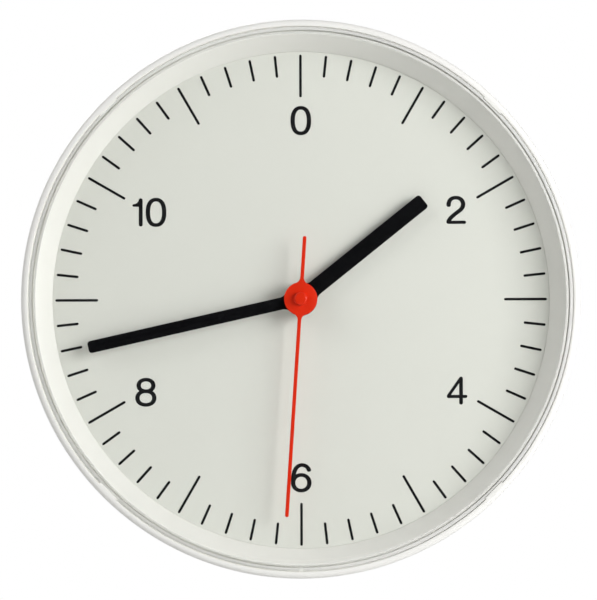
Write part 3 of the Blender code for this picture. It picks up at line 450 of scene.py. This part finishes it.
def caseSection(angle):
    c = caseShape
    front = heights("case_body")[1]
    outer = rim("case_body")
    seam = c["seam"]
    inner = tabInner(angle) or seam
    edge = c["lipEdge"]
    shoulder = front - c["lipRound"]
    slopeWidth = c["slopeTop"] - c["well"]
    slopeRise = c["land"] - c["wellTop"]
    lean = atan2(slopeRise, slopeWidth)
    under = (c["well"] + c["wall"] * sin(lean), c["wellTop"] - c["wall"] * cos(lean))
    floorRear, floorFront = c["floor"]

    def underside(height):
        return under[0] + (height - under[1]) / (slopeRise / slopeWidth)

    corner, ledgeRound = c["rearRadius"] - c["rimRound"], c["ledgeRound"]
    inside = c["rearRadius"] - c["wall"]
    draft = (outer - c["rearRadius"]) * c["ledge"] / shoulder
    crestOut, crestRound = c["crest"]
    crestStart = pi / 2 + (pi / 2 - lean) * c["crestSweep"]
    grooveRound = c["grooveRound"]

    points = arc((outer - c["lipRound"], shoulder), c["lipRound"], pi / 2, 0, 12)
    points += arc((corner, c["rimRound"]), c["rimRound"], 0, -pi / 2, 5)
    points += [(inside, 0)]
    points += arc((inside + draft - ledgeRound, c["ledge"] - ledgeRound), ledgeRound, 0, pi / 2, 3)
    points += [(underside(c["ledge"]), c["ledge"])]
    points += [(underside(floorRear), floorRear), (c["hole"], floorRear), (c["hole"], floorFront)]
    points += [(c["well"], floorFront)] + [(c["well"] + out, c["wellTop"] + rise) for out, rise in c["foot"]]
    # Flat top of the slope, with rounded edges
    points += arc((c["slopeTop"] + crestOut, c["land"] - crestRound), crestRound, crestStart, pi / 2, 3)
    points += arc((c["groove"] - grooveRound, c["land"] - grooveRound), grooveRound, pi / 2, 0, 3)
    points += [(c["groove"], c["grooveFloor"]), (seam, c["grooveFloor"])]
    points += [(seam, c["tabRear"] - c["tabDrop"]), (inner, c["tabRear"])]
    points += arc((inner + edge, front - edge), edge, pi, pi / 2, 4)
    return points


edges = [turn + side * tabHalf for turn in tabTurns for side in (-1, 1)]
caseShell = addPiece("caseShell", turnedMesh("caseShell", caseSection, breaks=edges),
                     "clock_case")
finish(caseShell, "caseWhite")
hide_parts("case_body")
print("case shell turned")

ribShape = {
    "count": 8,
    "thickness": 1.6 * mm,
    "ring": 41.1 * mm,           # inner side of the ring rib round the movement
    "reach": 130.0 * mm,
    "heights": (12.5 * mm, 21.1 * mm),
    "edge": 0.3 * mm,
    "bosses": [(-14.0 * mm, 84.6 * mm), (14.0 * mm, 84.6 * mm)],
    "bossRadius": 3.6 * mm,
    "bossRear": 3.65 * mm,
    "boreRadius": 1.6 * mm,
    "boreFront": 12.6 * mm,
}
ribRear, ribFront = ribShape["heights"]
parts = [plateMesh("rib", [circle((0, 0), ribShape["ring"] + ribShape["thickness"], 160),
                           circle((0, 0), ribShape["ring"], 160)], ribRear, ribFront, ribShape["edge"])]
for i in range(ribShape["count"]):
    turn = (i + 0.5) * 2 * pi / ribShape["count"]
    half = ribShape["thickness"] / 2
    start, end = ribShape["ring"] + half, ribShape["reach"]
    loop = [(x * cos(turn) + y * sin(turn), y * cos(turn) - x * sin(turn))
            for x, y in ((half, start), (half, end), (-half, end), (-half, start))]
    parts.append(plateMesh("rib", [loop], ribRear, ribFront, ribShape["edge"]))


def bossSection(angle):
    radius, bore, edge = ribShape["bossRadius"], ribShape["boreRadius"], ribShape["edge"]
    rear, bottom = ribShape["bossRear"], ribShape["boreFront"]
    points = [(0, bottom), (bore, bottom), (bore, rear + edge / 2), (bore + edge / 2, rear)]
    points += arc((radius - edge, rear + edge), edge, -pi / 2, 0, 3)
    return points + [(radius, ribFront), (0, ribFront)]


for centre in ribShape["bosses"]:
    parts.append(turnedMesh("boss", bossSection, steps=48, ring=False, centre=centre))
caseRibs = addPiece("caseRibs", merged("caseRibs", parts), "clock_case")
finish(caseRibs, "caseWhite")
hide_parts("case_body")
print("case ribs and bosses made")


# The lens: a shallow dome with a skirt that stands in the case's groove
lensShape = {
    "radius": 129.0 * mm,
    "skirtInner": 126.9 * mm,
    "skirtRear": 30.5 * mm,
    "thickness": 2.0 * mm,
    "dome": 0.8 * mm,
    "edgeRound": 1.6 * mm,
    "innerRound": 1.2 * mm,
    "rings": (0.0, 0.12, 0.3, 0.5, 0.7, 0.85, 0.95),     # of the dome, as shares of its radius
    "chamfer": 0.2 * mm,         # round the skirt's foot
    "recess": 128.1 * mm,        # flat side that clears a tab
    "recessGap": 0.3 * mm,
    "recessRear": 38.05 * mm,
    "recessDrop": 0.02 * mm,
    "notchWidth": 1.9 * mm,      # for a blade, at the bottom
    "notchHeight": 7.2 * mm,
    "notchDepth": 1.2 * mm,
}
recessHalf = atan2(caseShape["tabWidth"] / 2 + lensShape["recessGap"], lensShape["recess"])
notchHalf = atan2(lensShape["notchWidth"] / 2, lensShape["radius"])


def lensSection(angle):
    s = lensShape
    front = heights("lens")[1]
    edge = s["radius"] - s["edgeRound"]
    shoulder = front - s["dome"] - s["edgeRound"]
    limit = s["radius"]
    recessed = False
    for turn in tabTurns:
        if abs(angle - turn) < recessHalf:
            limit = s["recess"] / cos(angle - turn)
            recessed = True
    rear = s["skirtRear"]
    if abs(angle - pi) < notchHalf:
        rear += s["notchHeight"]
        limit -= s["notchDepth"]

    def face(radius):
        return front - s["dome"] * (radius / edge) ** 2

    chamfer = s["chamfer"]
    points = [(edge * share, face(edge * share)) for share in s["rings"]]
    points += [(min(r, limit), h) for r, h in arc((edge, shoulder), s["edgeRound"], pi / 2, 0, 20)]
    ledge = s["recessRear"]
    points += [(limit, ledge + (0.0 if recessed else s["recessDrop"])), (s["radius"], ledge)]
    points += [(s["radius"], rear + chamfer), (s["radius"] - chamfer, rear)]
    points += [(s["skirtInner"] + chamfer, rear), (s["skirtInner"], rear + chamfer)]
    inner = s["skirtInner"] - s["innerRound"]
    innerFront = face(inner) - s["thickness"]
    points += arc((inner, innerFront - s["innerRound"]), s["innerRound"], 0, pi / 2, 16)
    points += [(inner * share, face(inner * share) - s["thickness"]) for share in reversed(s["rings"])]
    return points


edges = [turn + side * recessHalf for turn in tabTurns for side in (-1, 1)]
edges += [pi - notchHalf, pi + notchHalf]
lens = addPiece("lensClear", turnedMesh("lensClear", lensSection, steps=360, breaks=edges, ring=False),
                "clock_case")
finish(lens, "lensClear")
lens.data.materials.append(finishes["lensRim"])
for face in lens.data.polygons:
    middle = face.center
    if hypot(middle.x, middle.z) > lensShape["skirtInner"] - lensShape["innerRound"]:
        face.material_index = 1
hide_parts("lens")
print("lens turned")


# The dial is a printed sheet
dialShape = {
    "hole": 4.2 * mm,
    "edge": 0.1 * mm,
    "gap": 0.02 * mm,            # round the sheet, inside the slope's foot
    "printHeight": 0.03 * mm,
    "printRoot": 0.02 * mm,      # how far the ink reaches into the sheet
    "printLayer": 0.002 * mm,    # between strokes that cross
    "marks": 60,
    "longEvery": 5,
    "markOuter": 116.9 * mm,
    "longInner": 96.5 * mm,
    "shortInner": 106.4 * mm,
    "markWidth": 1.24 * mm,
}
dialRear, dialFront = heights("dial")
dialRadius = caseShape["well"] - dialShape["gap"]
printRear = dialFront - dialShape["printRoot"]
printFront = dialFront + dialShape["printHeight"]


def dialSection(angle):
    hole, edge = dialShape["hole"], dialShape["edge"]
    return [(hole, dialFront), (dialRadius - edge, dialFront), (dialRadius, dialFront - edge),
            (dialRadius, dialRear), (hole, dialRear)]


dial = addPiece("dialDisc", turnedMesh("dialDisc", dialSection), "clock_case")
finish(dial, "dialGrey")
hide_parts("dial")


def capsule(start, end, radius):
    # Outline of a straight stroke with round ends
    bearing = atan2(end[1] - start[1], end[0] - start[0])
    return (arc(end, radius, bearing - pi / 2, bearing + pi / 2, 10)
            + arc(start, radius, bearing + pi / 2, bearing + 3 * pi / 2, 10))


marks = []
for i in range(dialShape["marks"]):
    turn = 2 * pi * i / dialShape["marks"]
    half = dialShape["markWidth"] / 2
    inner = dialShape["longInner"] if i % dialShape["longEvery"] == 0 else dialShape["shortInner"]
    ends = [(r * sin(turn), r * cos(turn)) for r in (inner + half, dialShape["markOuter"] - half)]
    marks.append(capsule(ends[0], ends[1], half))
dialMarks = addPiece("dialMarks", plateMesh("dialMarks", marks, printRear, printFront),
                     "clock_case")
finish(dialMarks, "printBlack")
print("dial and", len(marks), "marks made")

# Numbers are strokes of a flat oval pen, in millimetres from the middle of each number.
# A bar has two ends and a half width; a loop has a middle, half its width and height, and how square it is
numberShape = {
    "pen": (1.05, 0.88),         # half widths across upright and level strokes
    "0": {"at": (0.12, 85.38), "loops": [((0.0, 0.0), 3.87, 6.08, 2.35)]},
    "2": {"at": (74.13, 41.9), "bars": [((-3.85, -5.24), (3.72, -5.24), 0.78)],
          "paths": [[(-3.77, 2.95), (-3.72, 3.9), (-3.2, 5.2), (-2.1, 6.15), (-0.35, 6.5), (1.35, 6.15),
                     (2.55, 5.15), (3.1, 3.7), (2.9, 2.2), (2.15, 1.0), (0.95, 0.0), (-0.65, -1.2),
                     (-2.1, -2.45), (-3.2, -3.6), (-3.75, -4.6), (-3.85, -5.1)]]},
    "4": {"at": (74.1, -43.6), "bars": [((1.84, 5.95), (1.84, -5.6), 0.9),
                                        ((-4.1, -2.61), (4.05, -2.61), 0.78),
                                        ((1.62, 5.9), (-4.08, -2.2), 0.74)]},
    "6": {"at": (0.1, -84.55), "loops": [((-0.19, -2.46), 3.84, 3.70, 2.1)],
          "paths": [[(3.48, 3.6), (2.95, 4.6), (1.85, 5.55), (0.2, 5.95), (-1.4, 5.55), (-2.65, 4.4),
                     (-3.5, 2.6), (-3.92, 0.3), (-4.03, -2.4)]]},
    "8": {"at": (-73.75, -43.5), "loops": [((-0.05, 2.93), 3.47, 2.75, 2.15),
                                           ((-0.12, -3.05), 3.99, 3.24, 2.15)]},
    "10": {"at": (-72.2, 42.0), "bars": [((-4.0, 5.65), (-4.0, -5.95), 0.94)],
           "loops": [((3.29, -0.17), 3.87, 6.05, 2.35)],
           "flag": [(-7.35, 2.52), (-4.2, 2.52), (-3.4, 4.4), (-3.5, 5.9), (-4.75, 6.15), (-5.15, 5.1),
                    (-5.8, 4.3), (-6.6, 3.92), (-7.35, 3.82), (-7.85, 3.6), (-8.0, 3.17), (-7.85, 2.72)]},
}


def penEdge(point, direction, side, pen):
    # Where the pen's edge lies to one side of a stroke that runs in this direction
    nx, ny = side * direction[1], -side * direction[0]
    a, b = pen
    reach = sqrt((a * nx) ** 2 + (b * ny) ** 2)
    return point[0] + a * a * nx / reach, point[1] + b * b * ny / reach


def directions(points, closed):
    result = []
    last = len(points) - 1
    for i in range(len(points)):
        before = points[i - 1] if closed or i > 0 else points[i]
        after = points[(i + 1) % len(points)] if closed or i < last else points[i]
        length = hypot(after[0] - before[0], after[1] - before[1])
        result.append(((after[0] - before[0]) / length, (after[1] - before[1]) / length))
    return result


def smoothed(points, pieces=8):
    # A curve through the points
    padded = [points[0]] + points + [points[-1]]
    result = []
    for a, b, c, d in zip(padded, padded[1:], padded[2:], padded[3:]):
        for i in range(pieces):
            t = i / pieces
            result.append(tuple(0.5 * (2 * q + (r - p) * t + (2 * p - 5 * q + 4 * r - s) * t ** 2
                                       + (3 * q - p - 3 * r + s) * t ** 3) for p, q, r, s in zip(a, b, c, d)))
    return result + [points[-1]]


def penLoop(centre, across, up, power, pen, pieces=96):
    # Outer and inner edges of a closed stroke round a squarish oval
    points = []
    for i in range(pieces):
        turn = 2 * pi * i / pieces
        x, y = cos(turn), sin(turn)
        size = (abs(x) ** power + abs(y) ** power) ** (-1 / power)
        points.append((centre[0] + across * x * size, centre[1] + up * y * size))
    ways = directions(points, True)
    return [[penEdge(p, w, side, pen) for p, w in zip(points, ways)] for side in (1, -1)]


def penPath(points, pen, pieces=12):
    # Outline of a curved stroke, with the pen's own round ends
    points = smoothed(points)
    ways = directions(points, False)
    right = [penEdge(p, w, 1, pen) for p, w in zip(points, ways)]
    left = [penEdge(p, w, -1, pen) for p, w in zip(points, ways)]
    ends = []
    for point, way in ((points[-1], ways[-1]), (points[0], (-ways[0][0], -ways[0][1]))):
        bearing = atan2(way[1], way[0])
        turned = [bearing - pi / 2 + pi * i / pieces for i in range(1, pieces)]
        ends.append([penEdge(point, (-sin(t), cos(t)), 1, pen) for t in turned])
    return right + ends[0] + left[::-1] + ends[1]


pen = numberShape["pen"]
sheets = []
for number in ("0", "2", "4", "6", "8", "10"):
    spec = numberShape[number]
    strokes = [[capsule(a, b, half)] for a, b, half in spec.get("bars", [])]
    strokes += [penLoop(*loop, pen) for loop in spec.get("loops", [])]
    strokes += [[penPath(path, pen)] for path in spec.get("paths", [])]
    if "flag" in spec:
        strokes.append([spec["flag"]])
    for i, stroke in enumerate(strokes):
        loops = [[((x + spec["at"][0]) * mm, (y + spec["at"][1]) * mm) for x, y in loop] for loop in stroke]
        rise = i * dialShape["printLayer"]
        sheets.append(plateMesh("stroke", loops, printRear + rise, printFront + rise))
dialNumbers = addPiece("dialNumbers", merged("dialNumbers", sheets), "clock_case")
finish(dialNumbers, "printBlack")
print("numbers drawn:", len(sheets), "strokes")


# The hands at rest; a turn is in degrees, clockwise from the top of the dial
handShape = {
    "hour": {"node": "hour_hand", "body": "hour_hand_group", "length": 75.0 * mm, "width": 7.5 * mm,
             "hub": 7.8 * mm, "fillet": 4.0 * mm, "bore": 2.35 * mm, "turn": 51.3, "tail": 0},
    "minute": {"node": "minute_hand", "body": "minute_hand_group", "length": 103.5 * mm, "width": 5.8 * mm,
               "hub": 7.8 * mm, "fillet": 4.0 * mm, "bore": 1.55 * mm, "turn": 257.3, "tail": 0},
    "second": {"node": "second_hand", "body": "second_hand_group", "length": 103.6 * mm, "width": 1.75 * mm,
               "hub": 7.9 * mm, "fillet": 3.0 * mm, "bore": 0, "turn": 183.8, "tail": 29.8 * mm},
    "tipRound": 1.5 * mm,
    "tipShare": 0.8,             # the most of half the arm's width that a tip's round takes
    "edge": 0.12 * mm,
    "join": 0.04,                # radians the hub's round stops short of the fillet
}


def handOutline(h):
    # Clockwise from the tip: one side of the arm, a concave fillet, the hub, and back up
    side = h["width"] / 2
    hub, fillet, join = h["hub"], h["fillet"], handShape["join"]
    tip = min(handShape["tipRound"], handShape["tipShare"] * side)
    rise = sqrt((hub + fillet) ** 2 - (side + fillet) ** 2)
    lean = atan2(rise, side + fillet)
    right = arc((side - tip, h["length"] - tip), tip, pi / 2, 0, 8)
    right += arc((side + fillet, rise), fillet, pi, pi + lean, 12)
    if h["tail"]:
        right += arc((0, 0), hub, lean - join, -lean + join, 40)
        right += arc((side + fillet, -rise), fillet, pi - lean, pi, 12)
        right += arc((side - tip, tip - h["tail"]), tip, 0, -pi / 2, 6)
    else:
        right += arc((0, 0), hub, lean - join, -pi / 2, 40)
    left = [(-x, y) for x, y in reversed(right)]
    if abs(right[-1][0]) < tiny:
        left = left[1:]
    return right + left


def turnedLoop(loop, degrees):
    a = radians(degrees)
    return [(x * cos(a) + y * sin(a), y * cos(a) - x * sin(a)) for x, y in loop]


for name in ("hour", "minute", "second"):
    h = handShape[name]
    loops = [turnedLoop(handOutline(h), h["turn"])]
    if h["bore"]:
        loops.append(circle((0, 0), h["bore"]))
    rear, front = heights(h["node"])
    mesh = plateMesh(name + "Hand", loops, rear, front, handShape["edge"])
    hand = addPiece(name + "Hand", mesh, h["body"], sharp=50)
    finish(hand, "handRed" if name == "second" else "handBlack")
    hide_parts(h["node"])
print("hands made")

capShape = {
    "round": 1.0 * mm,
    "crown": 0.12 * mm,
    "crownStep": (0.35, 0.25),   # a ring of the crown: share of the radius, share of the fall
    "chamfer": 0.15 * mm,
}
capRear, capFront = heights("second_hand_cap")
capRadius = rim("second_hand_cap")


def capSection(angle):
    corner, chamfer = capShape["round"], capShape["chamfer"]
    share, fall = capShape["crownStep"]
    top = capFront - capShape["crown"]
    points = [(0, capFront), (capRadius * share, capFront - capShape["crown"] * fall)]
    points += arc((capRadius - corner, top - corner), corner, pi / 2, 0, 8)
    return points + [(capRadius, capRear + chamfer), (capRadius - chamfer, capRear), (0, capRear)]


cap = addPiece("secondHandCap", turnedMesh("secondHandCap", capSection, steps=96, ring=False),
               "second_hand_group")
finish(cap, "handRed")
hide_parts("second_hand_cap")
print("second hand's boss turned")

# Solids kept as they are, by finish, and how far the edges of some are rounded
keptSolids = {
    "brass": ["second_hand_tube", "stem_nut", "train_plate"],
    "zincSteel": ["stem_washer", "hour_wheel_washer", "minute_wheel_pin", "set_pin", "stator", "coil_core",
                  "quartz_crystal", "hanger_plate", "hanger_screw_left", "hanger_screw_right"],
    "springSteel": ["contact_positive", "contact_negative"],
    "rubber": ["movement_gasket"],
    "housingBlack": ["movement_base", "movement_cover"],
    "naturalPlastic": ["rotor_pinion", "intermediate_wheel", "third_wheel", "centre_wheel", "cannon_pinion",
                       "minute_wheel", "hour_wheel", "set_spindle", "coil_bobbin"],
    "redPlastic": ["seconds_wheel", "set_knob"],
    "ferrite": ["rotor_magnet"],
    "copperWire": ["coil_winding"],
    "boardGreen": ["circuit_board"],
    "epoxy": ["circuit_chip"],
}
edgeRounds = {
    "movement_base": 0.25 * mm,
    "movement_cover": 0.25 * mm,
    "set_knob": 0.15 * mm,
    "hanger_plate": 0.12 * mm,
    "stem_nut": 0.12 * mm,
    "hanger_screw_left": 0.08 * mm,
    "hanger_screw_right": 0.08 * mm,
}
for finishName, nodes in keptSolids.items():
    for node in nodes:
        finish(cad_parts[node], finishName)
for node, width in edgeRounds.items():
    soften(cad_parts[node], width)
print("kept solids finished")


# Marks on the rear of the movement's cover: a border, a setting arrow and the battery's signs
coverShape = {
    "raised": 0.3 * mm,
    "root": 0.1 * mm,            # how far the marks reach into the cover
    "edge": 0.1 * mm,
    "inset": 1.6 * mm,
    "line": 0.7 * mm,
    "signBand": 4.2 * mm,        # room for the signs under the border
    "arrow": (5.7 * mm, 6.5 * mm),        # inner and outer radius of the arrow round the knob
    "sweep": (0.3, 4.9),         # radians where its shaft starts and ends
    "head": 5.15,                # radians where its head stands
    "barbs": 5.05,               # radians the head's two corners lie along
    "headLength": (1.5 * mm, 0.6 * mm),   # ahead of the head's middle, and behind it
    "headHalf": 1.3 * mm,
    "markEdge": 0.04 * mm,
    "signs": 3.6 * mm,
    "signAcross": 21.0 * mm,
    "signUp": 2.9 * mm,
}


def frameLoops(low, high, line):
    # A square frame: its outer and inner outlines
    return [[(low[0] + d, low[1] + d), (high[0] - d, low[1] + d), (high[0] - d, high[1] - d),
             (low[0] + d, high[1] - d)] for d in (0.0, line)]


def crossLoop(centre, size, line, arms=4):
    # A plus sign, or with two arms a minus sign
    x, y = centre
    a, b = size / 2, line / 2
    if arms == 2:
        return [(x - a, y - b), (x + a, y - b), (x + a, y + b), (x - a, y + b)]
    return [(x - a, y - b), (x - b, y - b), (x - b, y - a), (x + b, y - a), (x + b, y - b), (x + a, y - b),
            (x + a, y + b), (x + b, y + b), (x + b, y + a), (x - b, y + a), (x - b, y + b), (x - a, y + b)]


c = coverShape
coverLow, coverHigh = boxes["movement_cover"]
coverRear = heights("movement_cover")[0]
markRear, markFront = coverRear - c["raised"], coverRear + c["root"]
inset = c["inset"]
border = frameLoops((coverLow.x + inset, coverLow.z + inset + c["signBand"]),
                    (coverHigh.x - inset, coverHigh.z - inset), c["line"])
coverBorder = addPiece("coverBorder", plateMesh("coverBorder", border, markRear, markFront, c["edge"]),
                       "clock_case")
finish(coverBorder, "housingBlack")
knob = centreOf("set_knob")
inner, outer = c["arrow"]
start, end = c["sweep"]
shaft = arc(knob, outer, start, end, 40) + arc(knob, inner, end, start, 40)
middle = (inner + outer) / 2
headX, headY = knob[0] + middle * cos(c["head"]), knob[1] + middle * sin(c["head"])
wayX, wayY = cos(c["head"] + pi / 2), sin(c["head"] + pi / 2)
ahead, behind = c["headLength"]
barbX, barbY = c["headHalf"] * cos(c["barbs"]), c["headHalf"] * sin(c["barbs"])
head = [(headX + ahead * wayX, headY + ahead * wayY),
        (headX - behind * wayX + barbX, headY - behind * wayY + barbY),
        (headX - behind * wayX - barbX, headY - behind * wayY - barbY)]
signRow = coverLow.z + c["signUp"]
plus = crossLoop((c["signAcross"], signRow), c["signs"], c["line"])
minus = crossLoop((-c["signAcross"], signRow), c["signs"], c["line"], arms=2)
signs = [plateMesh("sign", [loop], markRear, markFront, c["markEdge"]) for loop in (shaft, head, plus, minus)]
coverMarks = addPiece("coverMarks", merged("coverMarks", signs), "clock_case")
finish(coverMarks, "printGrey")
print("cover marks made")


# The battery: a can in a printed sleeve, made round the dial's axis and then laid down
cellShape = {
    "radius": 7.0 * mm,
    "length": 50.5 * mm,
    "edge": 0.6 * mm,
    "nub": (2.75 * mm, 1.2 * mm),         # radius, length
    "nubRound": 0.4 * mm,
    "nubFoot": (0.3 * mm, 0.1 * mm),      # how far the foot spreads outward and up
    "moat": (0.9 * mm, 0.5 * mm),         # the dip round the nub ends this far inside the edge: foot and brim
    "moatDepth": 0.25 * mm,
    "base": (4.6 * mm, 4.3 * mm),         # radius of the dip in the base: brim and foot
    "baseDepth": 0.2 * mm,
    "sleeve": 7.25 * mm,
    "sleeveGap": 0.01 * mm,
    "sleeveEdge": (0.05 * mm, 0.12 * mm), # inward, along
}


def alongRight(mesh):
    right, up, height = centreOf("battery_cell")
    for v in mesh.vertices:
        x, y, z = v.co
        v.co = at(right - y, up + z, height - x)
    return mesh


def cellSection(angle):
    c = cellShape
    end = c["length"] / 2
    nubRadius, nubLength = c["nub"]
    nubRound = c["nubRound"]
    footOut, footUp = c["nubFoot"]
    moatFoot, moatBrim = c["moat"]
    baseBrim, baseFoot = c["base"]
    shoulder = end - nubLength
    dip = shoulder - c["moatDepth"]
    edge = c["edge"]
    points = [(0, end)]
    points += arc((nubRadius - nubRound, end - nubRound), nubRound, pi / 2, 0, 5)
    points += [(nubRadius, shoulder + footUp), (nubRadius + footOut, dip)]
    points += [(c["radius"] - edge - moatFoot, dip), (c["radius"] - edge - moatBrim, shoulder)]
    points += arc((c["radius"] - edge, shoulder - edge), edge, pi / 2, 0, 5)
    points += arc((c["radius"] - edge, edge - end), edge, 0, -pi / 2, 5)
    return points + [(baseBrim, -end), (baseFoot, c["baseDepth"] - end), (0, c["baseDepth"] - end)]


def sleeveSection(angle):
    c = cellShape
    end = c["length"] / 2
    rear, front = 2 * c["edge"] - end, end - c["nub"][1] - 2 * c["edge"]
    outer, inner = c["sleeve"], c["radius"] + c["sleeveGap"]
    inward, along = c["sleeveEdge"]
    return [(outer - inward, front), (outer, front - along), (outer, rear + along), (outer - inward, rear),
            (inner, rear), (inner, front)]


cell = addPiece("batteryCan", alongRight(turnedMesh("batteryCan", cellSection, steps=96, ring=False)),
                "battery")
finish(cell, "canSteel")
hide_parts("battery_cell")
sleeve = addPiece("batterySleeve", alongRight(turnedMesh("batterySleeve", sleeveSection, steps=96)),
                  "battery")
finish(sleeve, "sleeve")
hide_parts("battery_sleeve")
print("battery made")


# The floor the clock stands over, well below it
floorShape = {
    "height": -0.5,
    "size": 14.0,
    "colour": (0.82, 0.82, 0.81),
    "spread": 0.01,
    "cloudScale": 1.5,
    "rough": (0.8, 0.9),
    "grain": 0.02,
    "grainScale": 300.0,
    "lit": (0.6, 1.0),           # share of even light it is seen by, under the clock and far off
    "far": 3.5,
}


def floorFinish(name, look):
    # A pale matt floor that fades into the room's white
    material = solidFinish(name, look)
    tree = material.node_tree
    paths = tree.nodes.new("ShaderNodeLightPath")
    place = tree.nodes.new("ShaderNodeTexCoord")
    reach = tree.nodes.new("ShaderNodeVectorMath")
    reach.operation = 'LENGTH'
    share = tree.nodes.new("ShaderNodeMapRange")
    share.inputs["From Max"].default_value = look["far"]
    share.inputs["To Min"].default_value, share.inputs["To Max"].default_value = look["lit"]
    portion = tree.nodes.new("ShaderNodeMath")
    portion.operation = 'MULTIPLY'
    glow = tree.nodes.new("ShaderNodeEmission")
    mix = tree.nodes.new("ShaderNodeMixShader")
    tree.links.new(place.outputs["Object"], reach.inputs[0])
    tree.links.new(reach.outputs["Value"], share.inputs["Value"])
    tree.links.new(share.outputs["Result"], portion.inputs[1])
    tree.links.new(paths.outputs["Is Camera Ray"], portion.inputs[0])
    tree.links.new(portion.outputs[0], mix.inputs[0])
    tree.links.new(tree.nodes["Principled BSDF"].outputs[0], mix.inputs[1])
    tree.links.new(glow.outputs[0], mix.inputs[2])
    tree.links.new(mix.outputs[0], tree.nodes["Material Output"].inputs["Surface"])
    return material


shape = bmesh.new()
bmesh.ops.create_grid(shape, x_segments=8, y_segments=8, size=floorShape["size"] / 2)
mesh = bpy.data.meshes.new("floor")
shape.to_mesh(mesh)
shape.free()
floor = bpy.data.objects.new("floor", mesh)
floor.location = (0, 0, floorShape["height"])
scene.collection.objects.link(floor)
floor.data.materials.append(floorFinish("floorPale", floorShape))

lightShape = {
    "around": 0.22,              # soft light from all sides
    "mirrored": 0.55,            # how bright the room looks in reflections
    "front": 0.015,              # and its dark end, straight ahead, which the lens mirrors
    "frontEnds": (-0.97, -0.80), # how straight ahead: all dark, and no longer dark
    # power, size, degrees to the right of straight ahead, degrees up, distance
    "lamps": {
        "key": (25.5, 0.9, 51.0, 10.0, 1.6),
        "fill": (8.8, 1.0, -60.0, 30.0, 1.6),
        "rear": (12.0, 1.2, -155.0, 35.0, 1.8),
    },
}
world = bpy.data.worlds.new("studio")
scene.world = world
world.use_nodes = True
nodes, links = world.node_tree.nodes, world.node_tree.links
background = nodes["Background"]
paths = nodes.new("ShaderNodeLightPath")
place = nodes.new("ShaderNodeTexCoord")
split = nodes.new("ShaderNodeSeparateXYZ")
ahead = nodes.new("ShaderNodeMapRange")
ahead.interpolation_type = 'SMOOTHSTEP'
ahead.inputs["From Min"].default_value, ahead.inputs["From Max"].default_value = lightShape["frontEnds"]
ahead.inputs["To Min"].default_value = lightShape["front"]
ahead.inputs["To Max"].default_value = lightShape["mirrored"]
mirrored = nodes.new("ShaderNodeMix")
mirrored.inputs["A"].default_value = lightShape["around"]
seen = nodes.new("ShaderNodeMix")
seen.inputs["B"].default_value = 1.0
links.new(place.outputs["Generated"], split.inputs[0])
links.new(split.outputs["Y"], ahead.inputs["Value"])
links.new(paths.outputs["Is Glossy Ray"], mirrored.inputs["Factor"])
links.new(ahead.outputs["Result"], mirrored.inputs["B"])
links.new(mirrored.outputs["Result"], seen.inputs["A"])
links.new(paths.outputs["Is Camera Ray"], seen.inputs["Factor"])
links.new(seen.outputs["Result"], background.inputs["Strength"])
background.inputs["Color"].default_value = (1.0, 1.0, 1.0, 1.0)

for name, (power, size, side, rise, distance) in lightShape["lamps"].items():
    side, rise = radians(side), radians(rise)
    towards = Vector((sin(side) * cos(rise), -cos(side) * cos(rise), sin(rise)))
    lampData = bpy.data.lights.new(name + "Light", 'AREA')
    lampData.energy = power
    lampData.size = size
    lamp = bpy.data.objects.new(name + "Light", lampData)
    lamp.location = towards * distance
    lamp.rotation_euler = (-towards).to_track_quat('-Z', 'Y').to_euler()
    scene.collection.objects.link(lamp)

cameraShape = {
    "lens": 380.0,
    "azimuth": 0.7,
    "elevation": -2.4,
    "width": 0.2825,             # how much of the clock's plane the view spans
    "view": (597, 600),          # its shape, across and up
    "roll": -0.14,
    "right": -0.0010,            # the view's middle, from the hands' axis
    "up": -0.00075,
}
scene.view_settings.view_transform = 'Standard'
cameraData = bpy.data.cameras.new("camera")
cameraData.lens = cameraShape["lens"]
camera = bpy.data.objects.new("camera", cameraData)
scene.collection.objects.link(camera)
turn, lift = radians(cameraShape["azimuth"]), radians(cameraShape["elevation"])
back = Vector((sin(turn) * cos(lift), -cos(turn) * cos(lift), sin(lift)))
across, tall = cameraShape["view"]
distance = cameraShape["width"] * cameraData.lens / cameraData.sensor_width * tall / across
camera.location = at(cameraShape["right"], cameraShape["up"], heights("case_body")[1]) + back * distance
aim = (-back).to_track_quat('-Z', 'Y').to_matrix().to_4x4()
camera.rotation_euler = (aim @ Matrix.Rotation(radians(cameraShape["roll"]), 4, 'Z')).to_euler()
cameraData.clip_end = 100.0
scene.camera = camera
print("floor, light and camera placed")
